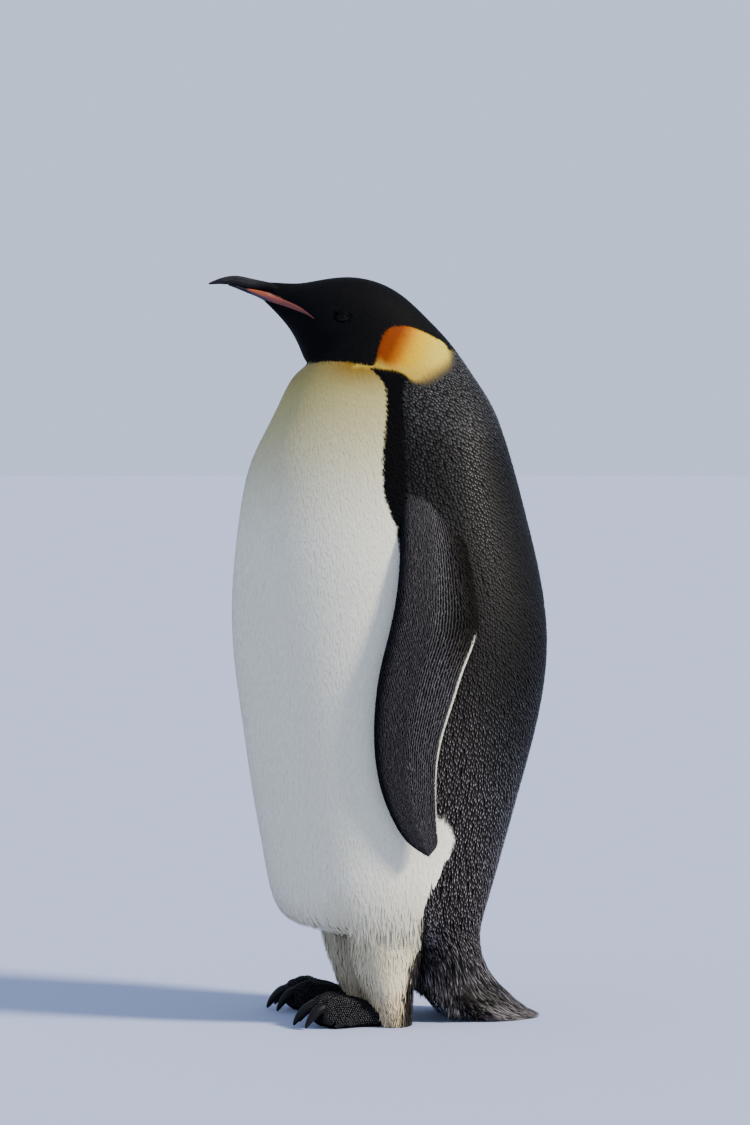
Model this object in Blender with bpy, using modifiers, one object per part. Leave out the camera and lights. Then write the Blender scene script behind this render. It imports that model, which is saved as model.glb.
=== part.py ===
"""Emperor penguin standing at rest, life size. Metres, +Z up, the bird faces -Y and its left is +X.

Every feathered part is a ring cage smoothed by Subdivision Surface, which then is a uniform cubic
B-spline surface through the stations that are listed for it."""

import math

import bmesh
import bpy
import numpy as np

GAP = 0.0003
PART_NAME = "emperor_penguin"

# Body stations from the bill's base over the head and down to the tail's tip: front point y, z,
# back point y, z, half width, and where from front to back the ring is widest.
BODY_STATIONS = (
    (-0.1530, 0.9565, -0.1470, 0.9800, 0.0095, 0.54),
    (-0.1375, 0.9415, -0.1270, 0.9790, 0.0140, 0.54),
    (-0.1185, 0.9195, -0.1020, 0.9790, 0.0260, 0.54),
    (-0.1055, 0.8965, -0.0720, 0.9840, 0.0370, 0.54),
    (-0.0980, 0.8790, -0.0340, 0.9870, 0.0440, 0.54),
    (-0.0945, 0.8710, 0.0050, 0.9785, 0.0475, 0.54),
    (-0.1040, 0.8630, 0.0380, 0.9590, 0.0510, 0.54),
    (-0.1180, 0.8460, 0.0690, 0.9300, 0.0590, 0.54),
    (-0.1330, 0.8160, 0.1010, 0.8950, 0.0725, 0.54),
    (-0.1520, 0.7780, 0.1310, 0.8520, 0.0920, 0.55),
    (-0.1710, 0.7350, 0.1570, 0.8080, 0.1120, 0.55),
    (-0.1830, 0.6780, 0.1800, 0.7400, 0.1330, 0.55),
    (-0.1910, 0.6120, 0.2010, 0.6600, 0.1490, 0.55),
    (-0.1945, 0.5450, 0.2190, 0.5800, 0.1580, 0.55),
    (-0.1910, 0.4750, 0.2265, 0.4950, 0.1630, 0.54),
    (-0.1805, 0.3950, 0.2155, 0.4050, 0.1630, 0.52),
    (-0.1675, 0.3050, 0.1925, 0.3150, 0.1580, 0.50),
    (-0.1535, 0.2250, 0.1685, 0.2280, 0.1480, 0.48),
    (-0.1385, 0.1580, 0.1490, 0.1600, 0.1350, 0.48),
    (-0.1080, 0.1330, 0.1390, 0.1220, 0.1160, 0.50),
    (-0.0500, 0.1240, 0.1385, 0.0980, 0.0970, 0.50),
    (0.0120, 0.0850, 0.1430, 0.0790, 0.0830, 0.42),
    (0.0480, 0.0420, 0.1545, 0.0570, 0.0750, 0.32),
    (0.0880, 0.0190, 0.1730, 0.0360, 0.0720, 0.24),
    (0.1340, 0.0035, 0.1930, 0.0175, 0.0690, 0.16),
    (0.1960, -0.0010, 0.2140, 0.0045, 0.0480, 0.12),
)
BODY_SIDES = 14
BODY_SQUARENESS = 0.94

# Cuts that part the body, each from a front point to a back point y, z.
HEAD_CUT = ((-0.0950, 0.8695), (0.0300, 0.9650))
NECK_CUT = ((-0.1660, 0.7450), (0.1530, 0.8150))
TAIL_CUT = ((0.0400, 0.0480), (0.1510, 0.0660))

# Left flipper from the shoulder to the tip: leading edge y, z, trailing edge y, z,
# x of its middle at either edge, thickness.
FLIPPER_STATIONS = (
    (0.0180, 0.7150, 0.0790, 0.6950, 0.1180, 0.1220, 0.026),
    (0.0150, 0.6650, 0.0980, 0.6400, 0.1410, 0.1395, 0.024),
    (0.0120, 0.6150, 0.1070, 0.5970, 0.1590, 0.1465, 0.020),
    (0.0060, 0.5650, 0.1130, 0.5580, 0.1690, 0.1535, 0.017),
    (-0.0040, 0.5190, 0.1120, 0.5200, 0.1735, 0.1640, 0.015),
    (-0.0150, 0.4750, 0.0960, 0.4770, 0.1750, 0.1700, 0.014),
    (-0.0215, 0.4300, 0.0800, 0.4300, 0.1750, 0.1735, 0.013),
    (-0.0230, 0.3850, 0.0655, 0.3830, 0.1740, 0.1735, 0.012),
    (-0.0190, 0.3430, 0.0590, 0.3410, 0.1725, 0.1725, 0.011),
    (-0.0090, 0.3050, 0.0585, 0.3030, 0.1705, 0.1705, 0.009),
    (0.0060, 0.2720, 0.0600, 0.2700, 0.1680, 0.1680, 0.007),
    (0.0215, 0.2500, 0.0610, 0.2480, 0.1660, 0.1660, 0.005),
    (0.0400, 0.2360, 0.0540, 0.2360, 0.1650, 0.1650, 0.003),
)
FLIPPER_SIDES = 8
EDGE_THICKNESS = 0.0022

# The right foot stands a little ahead of the left one.
LEG_X = 0.074
LEG_Y = {"left": -0.002, "right": -0.024}
# Leg from the belly down over the foot: front y and height, rear y and height, half width. Y counts
# from the ankle.
LEG_STATIONS = (
    (-0.0460, 0.1550, 0.0560, 0.1500, 0.0460),
    (-0.0430, 0.1180, 0.0500, 0.1000, 0.0440),
    (-0.0380, 0.0920, 0.0430, 0.0660, 0.0410),
    (-0.0300, 0.0680, 0.0380, 0.0400, 0.0390),
    (-0.0220, 0.0450, 0.0350, 0.0180, 0.0370),
    (-0.0150, 0.0280, 0.0330, 0.0020, 0.0340),
)
LEG_SIDES = 10

# Toe from the ankle to its end: distance forward, top, bottom, half width. Three toes make a foot.
TOE_STATIONS = (
    (0.004, 0.0300, -0.0040, 0.0110),
    (0.034, 0.0365, -0.0040, 0.0125),
    (0.058, 0.0430, -0.0040, 0.0130),
    (0.076, 0.0440, -0.0020, 0.0130),
    (0.088, 0.0375, 0.0030, 0.0115),
    (0.096, 0.0275, 0.0110, 0.0070),
)
TOES = {"inner": (-17.0, 0.93), "middle": (0.0, 1.00), "outer": (17.0, 0.95)}
FOOT_TURN_OUT = 4.0
TOE_SIDES = 8
SOLE_DROP = 0.0040
# The pad under the ankle and between the toes: y from the ankle, top, half width.
PAD_STATIONS = (
    (0.0275, 0.0140, 0.0100),
    (0.0230, 0.0270, 0.0190),
    (0.0060, 0.0330, 0.0240),
    (-0.0250, 0.0300, 0.0270),
    (-0.0500, 0.0230, 0.0330),
    (-0.0680, 0.0130, 0.0340),
)
# Claw in the plane of its toe: distance forward, height, half width, half depth.
CLAW_STATIONS = (
    (0.0890, 0.0270, 0.0072, 0.0076),
    (0.0980, 0.0245, 0.0068, 0.0072),
    (0.1055, 0.0190, 0.0058, 0.0062),
    (0.1115, 0.0125, 0.0043, 0.0046),
    (0.1155, 0.0065, 0.0026, 0.0030),
    (0.1180, 0.0022, 0.0009, 0.0011),
)
CLAW_SIDES = 8

# Upper and lower bill from inside the head to the tip: y, top, bottom, half width.
UPPER_BILL_STATIONS = (
    (-0.1280, 0.9760, 0.9600, 0.0115),
    (-0.1500, 0.9810, 0.9675, 0.0112),
    (-0.1635, 0.9838, 0.9698, 0.0098),
    (-0.1770, 0.9868, 0.9722, 0.0082),
    (-0.1890, 0.9884, 0.9757, 0.0067),
    (-0.2000, 0.9874, 0.9768, 0.0054),
    (-0.2100, 0.9848, 0.9774, 0.0040),
    (-0.2190, 0.9812, 0.9770, 0.0025),
    (-0.2246, 0.9785, 0.9768, 0.0008),
)
LOWER_BILL_STATIONS = (
    (-0.1280, 0.9595, 0.9420, 0.0098),
    (-0.1500, 0.9670, 0.9548, 0.0098),
    (-0.1635, 0.9693, 0.9615, 0.0086),
    (-0.1770, 0.9717, 0.9668, 0.0068),
    (-0.1890, 0.9752, 0.9718, 0.0046),
    (-0.1985, 0.9764, 0.9752, 0.0014),
)
BILL_SIDES = 10
# Coloured plate on each side of the lower bill: y, top, bottom, outer x.
PLATE_STATIONS = (
    (-0.1765, 0.9712, 0.9696, 0.0076),
    (-0.1680, 0.9702, 0.9650, 0.0096),
    (-0.1540, 0.9676, 0.9578, 0.0122),
    (-0.1400, 0.9636, 0.9524, 0.0146),
    (-0.1260, 0.9584, 0.9478, 0.0186),
    (-0.1120, 0.9516, 0.9424, 0.0262),
    (-0.0990, 0.9425, 0.9368, 0.0333),
    (-0.0880, 0.9320, 0.9300, 0.0381),
)
PLATE_THICKNESS = 0.0036
PLATE_SIDES = 8

EYE_CENTRE = (0.0372, -0.0505, 0.9335)
EYE_RADIUS = 0.0110

# Colour, roughness and metallic value of each material.
MATERIALS = {
    "head_plumage": ((0.012, 0.012, 0.014), 0.85, 0.0),
    "neck_plumage": ((0.80, 0.62, 0.22), 0.85, 0.0),
    "trunk_plumage": ((0.72, 0.72, 0.70), 0.85, 0.0),
    "tail_plumage": ((0.05, 0.055, 0.07), 0.80, 0.0),
    "leg_plumage": ((0.50, 0.48, 0.45), 0.90, 0.0),
    "flipper_plumage": ((0.07, 0.085, 0.11), 0.75, 0.0),
    "foot_skin": ((0.020, 0.020, 0.022), 0.55, 0.0),
    "claw_horn": ((0.010, 0.010, 0.011), 0.35, 0.0),
    "bill_horn": ((0.030, 0.030, 0.034), 0.40, 0.0),
    "bill_plate": ((0.80, 0.30, 0.16), 0.35, 0.0),
    "eye": ((0.020, 0.012, 0.008), 0.08, 0.0),
}


def clear_scene():
    for obj in list(bpy.data.objects):
        bpy.data.objects.remove(obj, do_unlink=True)


def collection(name, hidden):
    made = bpy.data.collections.new(name)
    made.hide_render = hidden
    bpy.context.scene.collection.children.link(made)
    return made


def material(name):
    colour, roughness, metallic = MATERIALS[name]
    made = bpy.data.materials.new(name)
    made.use_nodes = True
    shader = made.node_tree.nodes["Principled BSDF"]
    shader.inputs["Base Color"].default_value = (*colour, 1.0)
    shader.inputs["Roughness"].default_value = roughness
    shader.inputs["Metallic"].default_value = metallic
    return made


def controls_along(points):
    """Cubic B-spline control points of a curve that passes through the points and ends at them."""
    count = len(points)
    weights = np.eye(count)
    for row in range(1, count - 1):
        weights[row, row - 1 : row + 2] = (1 / 6, 4 / 6, 1 / 6)
    flat = points.reshape(count, -1)
    return np.linalg.solve(weights, flat).reshape(points.shape)


def controls_around(rings):
    """The same for closed rings, whose points lie along the second axis."""
    count = rings.shape[1]
    weights = np.eye(count) * 4 / 6
    weights += (np.roll(np.eye(count), 1, axis=1) + np.roll(np.eye(count), -1, axis=1)) / 6
    return np.einsum("ij,njk->nik", np.linalg.inv(weights), rings)


def bake(obj):
    """Puts the object's modifiers into its mesh."""
    graph = bpy.context.evaluated_depsgraph_get()
    mesh = bpy.data.meshes.new_from_object(obj.evaluated_get(graph))
    obj.modifiers.clear()
    obj.data = mesh


def edit(obj, change):
    """Runs a bmesh change on the object's mesh, caps what is open and turns its triangles out."""
    shape = bmesh.new()
    shape.from_mesh(obj.data)
    change(shape)
    rims = [edge for edge in shape.edges if edge.is_boundary]
    if rims:
        bmesh.ops.holes_fill(shape, edges=rims, sides=0)
    bmesh.ops.triangulate(shape, faces=shape.faces[:])
    bmesh.ops.recalc_face_normals(shape, faces=shape.faces[:])
    shape.to_mesh(obj.data)
    shape.free()


def loft(name, rings, group, smooth=True):
    """A closed tube through the rings, an array of stations, sides and xyz."""
    stations, sides, _ = rings.shape
    cage = controls_around(controls_along(rings)) if smooth else rings
    faces = [
        (
            row * sides + side,
            row * sides + (side + 1) % sides,
            (row + 1) * sides + (side + 1) % sides,
            (row + 1) * sides + side,
        )
        for row in range(stations - 1)
        for side in range(sides)
    ]
    mesh = bpy.data.meshes.new(name)
    mesh.from_pydata(cage.reshape(-1, 3).tolist(), [], faces)
    obj = bpy.data.objects.new(name, mesh)
    group.objects.link(obj)
    if smooth:
        surface = obj.modifiers.new("Smooth", "SUBSURF")
        surface.levels = 1
        surface.render_levels = 1
        bake(obj)
    edit(obj, lambda shape: None)
    return obj


def cut(obj, point, normal):
    """Keeps the side of the plane that the normal points to."""

    def bisect(shape):
        bmesh.ops.bisect_plane(
            shape,
            geom=shape.verts[:] + shape.edges[:] + shape.faces[:],
            plane_co=point,
            plane_no=normal,
            clear_inner=True,
        )

    edit(obj, bisect)


def copy(obj, name, group):
    made = bpy.data.objects.new(name, obj.data.copy())
    group.objects.link(made)
    return made


def grown(obj, cutters):
    """A cutter that is the object, larger by the gap on every side."""
    made = copy(obj, obj.name + "_cutter", cutters)
    made.hide_render = True
    made.display_type = "WIRE"

    def swell(shape):
        moves = [vertex.normal * GAP * 1.25 for vertex in shape.verts]
        for vertex, move in zip(shape.verts, moves):
            vertex.co += move

    edit(made, swell)
    return made


def combine(obj, other, operation):
    boolean = obj.modifiers.new(operation.title(), "BOOLEAN")
    boolean.operation = operation
    boolean.object = other
    boolean.solver = "EXACT"
    bake(obj)


def finish(obj, slot):
    obj.data.materials.clear()
    obj.data.materials.append(slot)
    obj.data.shade_smooth()
    obj.data.set_sharp_from_angle(angle=math.radians(50))


def signed_power(values, power):
    return np.sign(values) * np.abs(values) ** power


def body_rings():
    """Rings of the body. Side 0 is the front point, and the count runs over the left side."""
    angle = np.arange(BODY_SIDES) * 2 * math.pi / BODY_SIDES
    across = signed_power(np.sin(angle), BODY_SQUARENESS)
    along = (1 - signed_power(np.cos(angle), BODY_SQUARENESS)) / 2
    rings = []
    for front_y, front_z, back_y, back_z, half_width, widest in BODY_STATIONS:
        share = along + (widest - 0.5) * np.sin(angle) ** 2
        y = front_y + (back_y - front_y) * share
        z = front_z + (back_z - front_z) * share
        rings.append(np.stack([half_width * across, y, z], axis=1))
    return np.array(rings)


def flipper_rings(side):
    """Rings of a flipper: a blunt leading edge, and a thin trailing one."""
    angle = np.arange(FLIPPER_SIDES) * 2 * math.pi / FLIPPER_SIDES
    chord = (1 - np.cos(angle)) / 2
    bulge = np.sin(angle) * (1 - chord) ** 0.5 * 1.25
    rings = []
    for lead_y, lead_z, trail_y, trail_z, lead_x, trail_x, thickness in FLIPPER_STATIONS:
        half = np.minimum(EDGE_THICKNESS, thickness) / 2 * np.sin(angle)
        half = half + (thickness - min(EDGE_THICKNESS, thickness)) / 2 * bulge
        x = lead_x + (trail_x - lead_x) * chord + half
        y = lead_y + (trail_y - lead_y) * chord
        z = lead_z + (trail_z - lead_z) * chord
        rings.append(np.stack([side * x, y, z], axis=1))
    return np.array(rings)


def leg_rings(side, ankle_y):
    """Rings of a leg, each slanting down from its front point to its rear one."""
    angle = np.arange(LEG_SIDES) * 2 * math.pi / LEG_SIDES
    rings = []
    share = (1 - np.cos(angle)) / 2
    for front_y, front_z, rear_y, rear_z, half_width in LEG_STATIONS:
        x = side * LEG_X + half_width * np.sin(angle)
        y = ankle_y + front_y + (rear_y - front_y) * share
        rings.append(np.stack([x, y, front_z + (rear_z - front_z) * share], axis=1))
    return np.array(rings)


def upright_rings(stations, sides):
    """Rings that stand across Y, each with its y, top, bottom and half width."""
    angle = np.arange(sides) * 2 * math.pi / sides
    rings = []
    for y, top, bottom, half_width in stations:
        x = half_width * np.sin(angle)
        z = (top + bottom) / 2 + (top - bottom) / 2 * np.cos(angle)
        rings.append(np.stack([x, np.full(sides, y), z], axis=1))
    return np.array(rings)


def claw_rings():
    """Rings of a claw along its own bent line, in the plane of its toe."""
    angle = np.arange(CLAW_SIDES) * 2 * math.pi / CLAW_SIDES
    line = np.array([station[:2] for station in CLAW_STATIONS])
    heading = np.gradient(line, axis=0)
    heading /= np.linalg.norm(heading, axis=1, keepdims=True)
    rings = []
    for (forward, height), (ahead, up), station in zip(line, heading, CLAW_STATIONS):
        x = station[2] * np.sin(angle)
        lift = station[3] * np.cos(angle)
        rings.append(np.stack([x, -(forward - lift * up), height + lift * ahead], axis=1))
    return np.array(rings)


def plate_rings(side):
    angle = np.arange(PLATE_SIDES) * 2 * math.pi / PLATE_SIDES
    rings = []
    for y, top, bottom, outer_x in PLATE_STATIONS:
        depth = min(PLATE_THICKNESS, outer_x)
        x = side * (outer_x - depth / 2 + depth / 2 * np.sin(angle))
        z = (top + bottom) / 2 + (top - bottom) / 2 * np.cos(angle)
        rings.append(np.stack([x, np.full(PLATE_SIDES, y), z], axis=1))
    return np.array(rings)


def turned(rings, degrees, origin):
    """The rings turned about Z by the angle, then moved to the origin."""
    turn = math.radians(degrees)
    x = rings[..., 0] * math.cos(turn) - rings[..., 1] * math.sin(turn)
    y = rings[..., 0] * math.sin(turn) + rings[..., 1] * math.cos(turn)
    return np.stack([x, y, rings[..., 2]], axis=-1) + np.array(origin)


def plane_between(cut_line):
    """A point and a normal of the plane across X that holds the line from front to back."""
    (front_y, front_z), (back_y, back_z) = cut_line
    run, rise = back_y - front_y, back_z - front_z
    length = math.hypot(run, rise)
    return np.array([0.0, front_y, front_z]), np.array([0.0, -rise / length, run / length])


def make_body(group):
    """Head, neck, trunk and tail as one body parted by thin cuts."""
    whole = loft("trunk", body_rings(), group)
    cut(whole, (0, 0, 0), (0, 0, 1))
    names = ("head", "neck", "trunk", "tail")
    pieces = {name: whole if name == "trunk" else copy(whole, name, group) for name in names}
    for (upper, lower), line in zip(
        (("head", "neck"), ("neck", "trunk"), ("trunk", "tail")), (HEAD_CUT, NECK_CUT, TAIL_CUT)
    ):
        point, up = plane_between(line)
        cut(pieces[upper], point + up * GAP / 2, up)
        cut(pieces[lower], point - up * GAP / 2, -up)
    return pieces


def make_foot(side_name, side, group, cutters):
    """One foot, the pad and three toes joined with a flat sole, and a cutter for each toe."""
    origin = (side * LEG_X, LEG_Y[side_name], 0)
    pad = [(y, top, -1.5 * SOLE_DROP, half) for y, top, half in PAD_STATIONS]
    turn_out = side * FOOT_TURN_OUT
    pad_rings = turned(upright_rings(pad, TOE_SIDES), turn_out, origin)
    foot = loft("foot_" + side_name, pad_rings, group, smooth=False)
    toe_cutters = {}
    for toe_name, (spread, size) in TOES.items():
        stations = [
            (-forward * size, top * size, bottom, half * size)
            for forward, top, bottom, half in TOE_STATIONS
        ]
        rings = turned(upright_rings(stations, TOE_SIDES), turn_out + side * spread, origin)
        toe = loft("toe_" + side_name + "_" + toe_name, rings, group, smooth=False)
        toe_cutters[toe_name] = grown(toe, cutters)
        combine(foot, toe, "UNION")
        bpy.data.objects.remove(toe, do_unlink=True)
    cut(foot, (0, 0, 0), (0, 0, 1))
    return foot, toe_cutters


def make_claws(side_name, side, group):
    origin = (side * LEG_X, LEG_Y[side_name], 0)
    made = {}
    for toe_name, (spread, size) in TOES.items():
        turn = side * (FOOT_TURN_OUT + spread)
        rings = turned(claw_rings() * (size, size, 1), turn, origin)
        made[toe_name] = loft("claw_" + side_name + "_" + toe_name, rings, group, smooth=False)
    return made


def make_eye(side_name, side, group):
    shape = bmesh.new()
    bmesh.ops.create_uvsphere(shape, u_segments=14, v_segments=8, radius=EYE_RADIUS)
    mesh = bpy.data.meshes.new("eye_" + side_name)
    shape.to_mesh(mesh)
    shape.free()
    eye = bpy.data.objects.new("eye_" + side_name, mesh)
    eye.location = (side * EYE_CENTRE[0], EYE_CENTRE[1], EYE_CENTRE[2])
    group.objects.link(eye)
    bpy.context.view_layer.update()
    mesh.transform(eye.matrix_world)
    eye.location = (0, 0, 0)
    return eye


def main():
    clear_scene()
    group = collection(PART_NAME, False)
    cutters = collection("cutters", True)
    slots = {name: material(name) for name in MATERIALS}

    parts = make_body(group)
    upper_bill = loft("upper_bill", upright_rings(UPPER_BILL_STATIONS, BILL_SIDES), group, False)
    lower_bill = loft("lower_bill", upright_rings(LOWER_BILL_STATIONS, BILL_SIDES), group, False)
    body_cutters = [grown(parts[name], cutters) for name in ("trunk", "tail")]
    upper_cutter = grown(upper_bill, cutters)
    lower_cutter = grown(lower_bill, cutters)
    for name, slot in (("upper_bill", "bill_horn"), ("lower_bill", "bill_horn")):
        finish(bpy.data.objects[name], slots[slot])

    for side_name, side in (("left", 1), ("right", -1)):
        eye = make_eye(side_name, side, group)
        combine(parts["head"], grown(eye, cutters), "DIFFERENCE")
        finish(eye, slots["eye"])

        plate = loft("bill_plate_" + side_name, plate_rings(side), group, False)
        combine(plate, upper_cutter, "DIFFERENCE")
        plate_cutter = grown(plate, cutters)
        combine(lower_bill, plate_cutter, "DIFFERENCE")
        combine(parts["head"], plate_cutter, "DIFFERENCE")
        finish(plate, slots["bill_plate"])

        flipper = loft("flipper_" + side_name, flipper_rings(side), group)
        combine(flipper, body_cutters[0], "DIFFERENCE")
        finish(flipper, slots["flipper_plumage"])

        leg = loft("leg_" + side_name, leg_rings(side, LEG_Y[side_name]), group)
        leg_cutter = grown(leg, cutters)
        for cutter in body_cutters:
            combine(leg, cutter, "DIFFERENCE")
        finish(leg, slots["leg_plumage"])

        foot, toe_cutters = make_foot(side_name, side, group, cutters)
        combine(foot, leg_cutter, "DIFFERENCE")
        finish(foot, slots["foot_skin"])
        for toe_name, claw in make_claws(side_name, side, group).items():
            combine(claw, toe_cutters[toe_name], "DIFFERENCE")
            finish(claw, slots["claw_horn"])

    combine(parts["head"], upper_cutter, "DIFFERENCE")
    combine(parts["head"], lower_cutter, "DIFFERENCE")
    for name, piece in parts.items():
        finish(piece, slots[name + "_plumage"])


main()
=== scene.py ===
"""Emperor penguin, a still life-size model. One skin lies under a coat of mesh feathers, and the bill, the
eyes, the scales of the feet and the claws are pieces of their own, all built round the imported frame.
Metres, +Z up, the bird faces -Y and its left side is +X."""

import math

import bpy
import numpy as np
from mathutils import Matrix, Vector


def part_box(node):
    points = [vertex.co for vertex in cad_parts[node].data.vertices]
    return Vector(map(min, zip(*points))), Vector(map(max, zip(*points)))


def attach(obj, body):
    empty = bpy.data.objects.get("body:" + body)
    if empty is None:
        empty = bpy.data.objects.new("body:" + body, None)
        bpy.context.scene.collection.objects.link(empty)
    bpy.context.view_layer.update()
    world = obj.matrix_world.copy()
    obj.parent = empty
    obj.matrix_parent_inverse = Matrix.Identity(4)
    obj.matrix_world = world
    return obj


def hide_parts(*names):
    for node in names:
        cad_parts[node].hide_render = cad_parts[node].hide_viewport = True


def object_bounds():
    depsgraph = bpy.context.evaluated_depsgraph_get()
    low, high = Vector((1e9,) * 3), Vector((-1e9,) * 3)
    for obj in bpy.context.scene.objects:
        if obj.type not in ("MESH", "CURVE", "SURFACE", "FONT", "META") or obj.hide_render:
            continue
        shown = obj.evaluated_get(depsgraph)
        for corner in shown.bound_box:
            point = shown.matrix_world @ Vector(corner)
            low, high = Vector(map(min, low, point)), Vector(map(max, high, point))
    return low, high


bl_info = {
    "name": "Emperor Penguin",
    "version": (1, 0, 0),
    "blender": (4, 5, 0),
    "location": "View3D > Sidebar > Penguin",
    "description": "Builds a life-size emperor penguin, feather by feather, round its frame",
    "category": "Add Mesh",
}

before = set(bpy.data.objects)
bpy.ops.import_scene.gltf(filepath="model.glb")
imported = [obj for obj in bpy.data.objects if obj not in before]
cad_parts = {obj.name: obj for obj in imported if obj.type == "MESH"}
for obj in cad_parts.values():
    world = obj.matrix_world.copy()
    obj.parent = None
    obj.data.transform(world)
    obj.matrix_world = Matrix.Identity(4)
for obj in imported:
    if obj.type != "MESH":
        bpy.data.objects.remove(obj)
CAD_LOW, CAD_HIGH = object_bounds()
FLOOR = CAD_LOW.z
BODY = "root"
SIDES = (("left", 1), ("right", -1))
TURN = 2 * math.pi

# ---------------------------------------------------------------- shapes of the frame

# Body stations from the bill's base over the head and down to the tail's tip: front point y, z,
# back point y, z, half width, and where from front to back the ring is widest.
BODY_STATIONS = (
    (-0.153, 0.9565, -0.147, 0.98, 0.0095, 0.54),
    (-0.1375, 0.9415, -0.127, 0.979, 0.014, 0.54),
    (-0.1185, 0.9195, -0.102, 0.979, 0.026, 0.54),
    (-0.1055, 0.8965, -0.072, 0.984, 0.037, 0.54),
    (-0.098, 0.879, -0.034, 0.987, 0.044, 0.54),
    (-0.0945, 0.871, 0.005, 0.9785, 0.0475, 0.54),
    (-0.104, 0.863, 0.038, 0.959, 0.051, 0.54),
    (-0.118, 0.846, 0.069, 0.93, 0.059, 0.54),
    (-0.133, 0.816, 0.101, 0.895, 0.0725, 0.54),
    (-0.152, 0.778, 0.131, 0.852, 0.092, 0.55),
    (-0.171, 0.735, 0.157, 0.808, 0.112, 0.55),
    (-0.183, 0.678, 0.18, 0.74, 0.133, 0.55),
    (-0.191, 0.612, 0.201, 0.66, 0.149, 0.55),
    (-0.1945, 0.545, 0.219, 0.58, 0.158, 0.55),
    (-0.191, 0.475, 0.2265, 0.495, 0.163, 0.54),
    (-0.1805, 0.395, 0.2155, 0.405, 0.163, 0.52),
    (-0.1675, 0.305, 0.1925, 0.315, 0.158, 0.5),
    (-0.1535, 0.225, 0.1685, 0.228, 0.148, 0.48),
    (-0.1385, 0.158, 0.149, 0.16, 0.135, 0.48),
    (-0.108, 0.133, 0.139, 0.122, 0.116, 0.5),
    (-0.05, 0.124, 0.1385, 0.098, 0.097, 0.5),
    (0.012, 0.085, 0.143, 0.079, 0.083, 0.42),
    (0.048, 0.042, 0.1545, 0.057, 0.075, 0.32),
    (0.088, 0.019, 0.173, 0.036, 0.072, 0.24),
    (0.134, 0.0035, 0.193, 0.0175, 0.069, 0.16),
    (0.196, -0.001, 0.214, 0.0045, 0.048, 0.12),
)
BODY_SIDES = 14
BODY_SQUARENESS = 0.94

# Left flipper from the shoulder to the tip: leading edge y, z, trailing edge y, z,
# x of its middle at either edge, thickness.
FLIPPER_STATIONS = (
    (0.018, 0.715, 0.079, 0.695, 0.118, 0.122, 0.026),
    (0.015, 0.665, 0.098, 0.64, 0.141, 0.1395, 0.024),
    (0.012, 0.615, 0.107, 0.597, 0.159, 0.1465, 0.02),
    (0.006, 0.565, 0.113, 0.558, 0.169, 0.1535, 0.017),
    (-0.004, 0.519, 0.112, 0.52, 0.1735, 0.164, 0.015),
    (-0.015, 0.475, 0.096, 0.477, 0.175, 0.17, 0.014),
    (-0.0215, 0.43, 0.08, 0.43, 0.175, 0.1735, 0.013),
    (-0.023, 0.385, 0.0655, 0.383, 0.174, 0.1735, 0.012),
    (-0.019, 0.343, 0.059, 0.341, 0.1725, 0.1725, 0.011),
    (-0.009, 0.305, 0.0585, 0.303, 0.1705, 0.1705, 0.009),
    (0.006, 0.272, 0.06, 0.27, 0.168, 0.168, 0.007),
    (0.0215, 0.25, 0.061, 0.248, 0.166, 0.166, 0.005),
    (0.04, 0.236, 0.054, 0.236, 0.165, 0.165, 0.003),
)
FLIPPER_SIDES = 8
EDGE_THICKNESS = 0.0022

# The right foot stands a little ahead of the left one.
LEG_X = 0.074
LEG_Y = {"left": -0.002, "right": -0.024}
# Leg from the belly down over the foot: front y and height, rear y and height, half width. Y counts
# from the ankle.
LEG_STATIONS = (
    (-0.046, 0.155, 0.056, 0.15, 0.046),
    (-0.043, 0.118, 0.05, 0.1, 0.044),
    (-0.038, 0.092, 0.043, 0.066, 0.041),
    (-0.03, 0.068, 0.038, 0.04, 0.039),
    (-0.022, 0.045, 0.035, 0.018, 0.037),
    (-0.015, 0.028, 0.033, 0.002, 0.034),
)
LEG_SIDES = 10

# Toe from the ankle to its end: distance forward, top, bottom, half width.
TOE_STATIONS = (
    (0.004, 0.03, -0.004, 0.011),
    (0.034, 0.0365, -0.004, 0.0125),
    (0.058, 0.043, -0.004, 0.013),
    (0.076, 0.044, -0.002, 0.013),
    (0.088, 0.0375, 0.003, 0.0115),
    (0.096, 0.0275, 0.011, 0.007),
)
TOES = {"inner": (-17.0, 0.93), "middle": (0.0, 1.0), "outer": (17.0, 0.95)}
FOOT_TURN_OUT = 4.0
TOE_SIDES = 8
SOLE_DROP = 0.004
# The pad under the ankle and between the toes: y from the ankle, top, half width.
PAD_STATIONS = (
    (0.0275, 0.014, 0.01),
    (0.023, 0.027, 0.019),
    (0.006, 0.033, 0.024),
    (-0.025, 0.03, 0.027),
    (-0.05, 0.023, 0.033),
    (-0.068, 0.013, 0.034),
)
# Claw in the plane of its toe: distance forward, height, half width, half depth.
CLAW_STATIONS = (
    (0.089, 0.027, 0.0072, 0.0076),
    (0.098, 0.0245, 0.0068, 0.0072),
    (0.1055, 0.019, 0.0058, 0.0062),
    (0.1115, 0.0125, 0.0043, 0.0046),
    (0.1155, 0.0065, 0.0026, 0.003),
    (0.118, 0.0022, 0.0009, 0.0011),
)
CLAW_SIDES = 8

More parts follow.
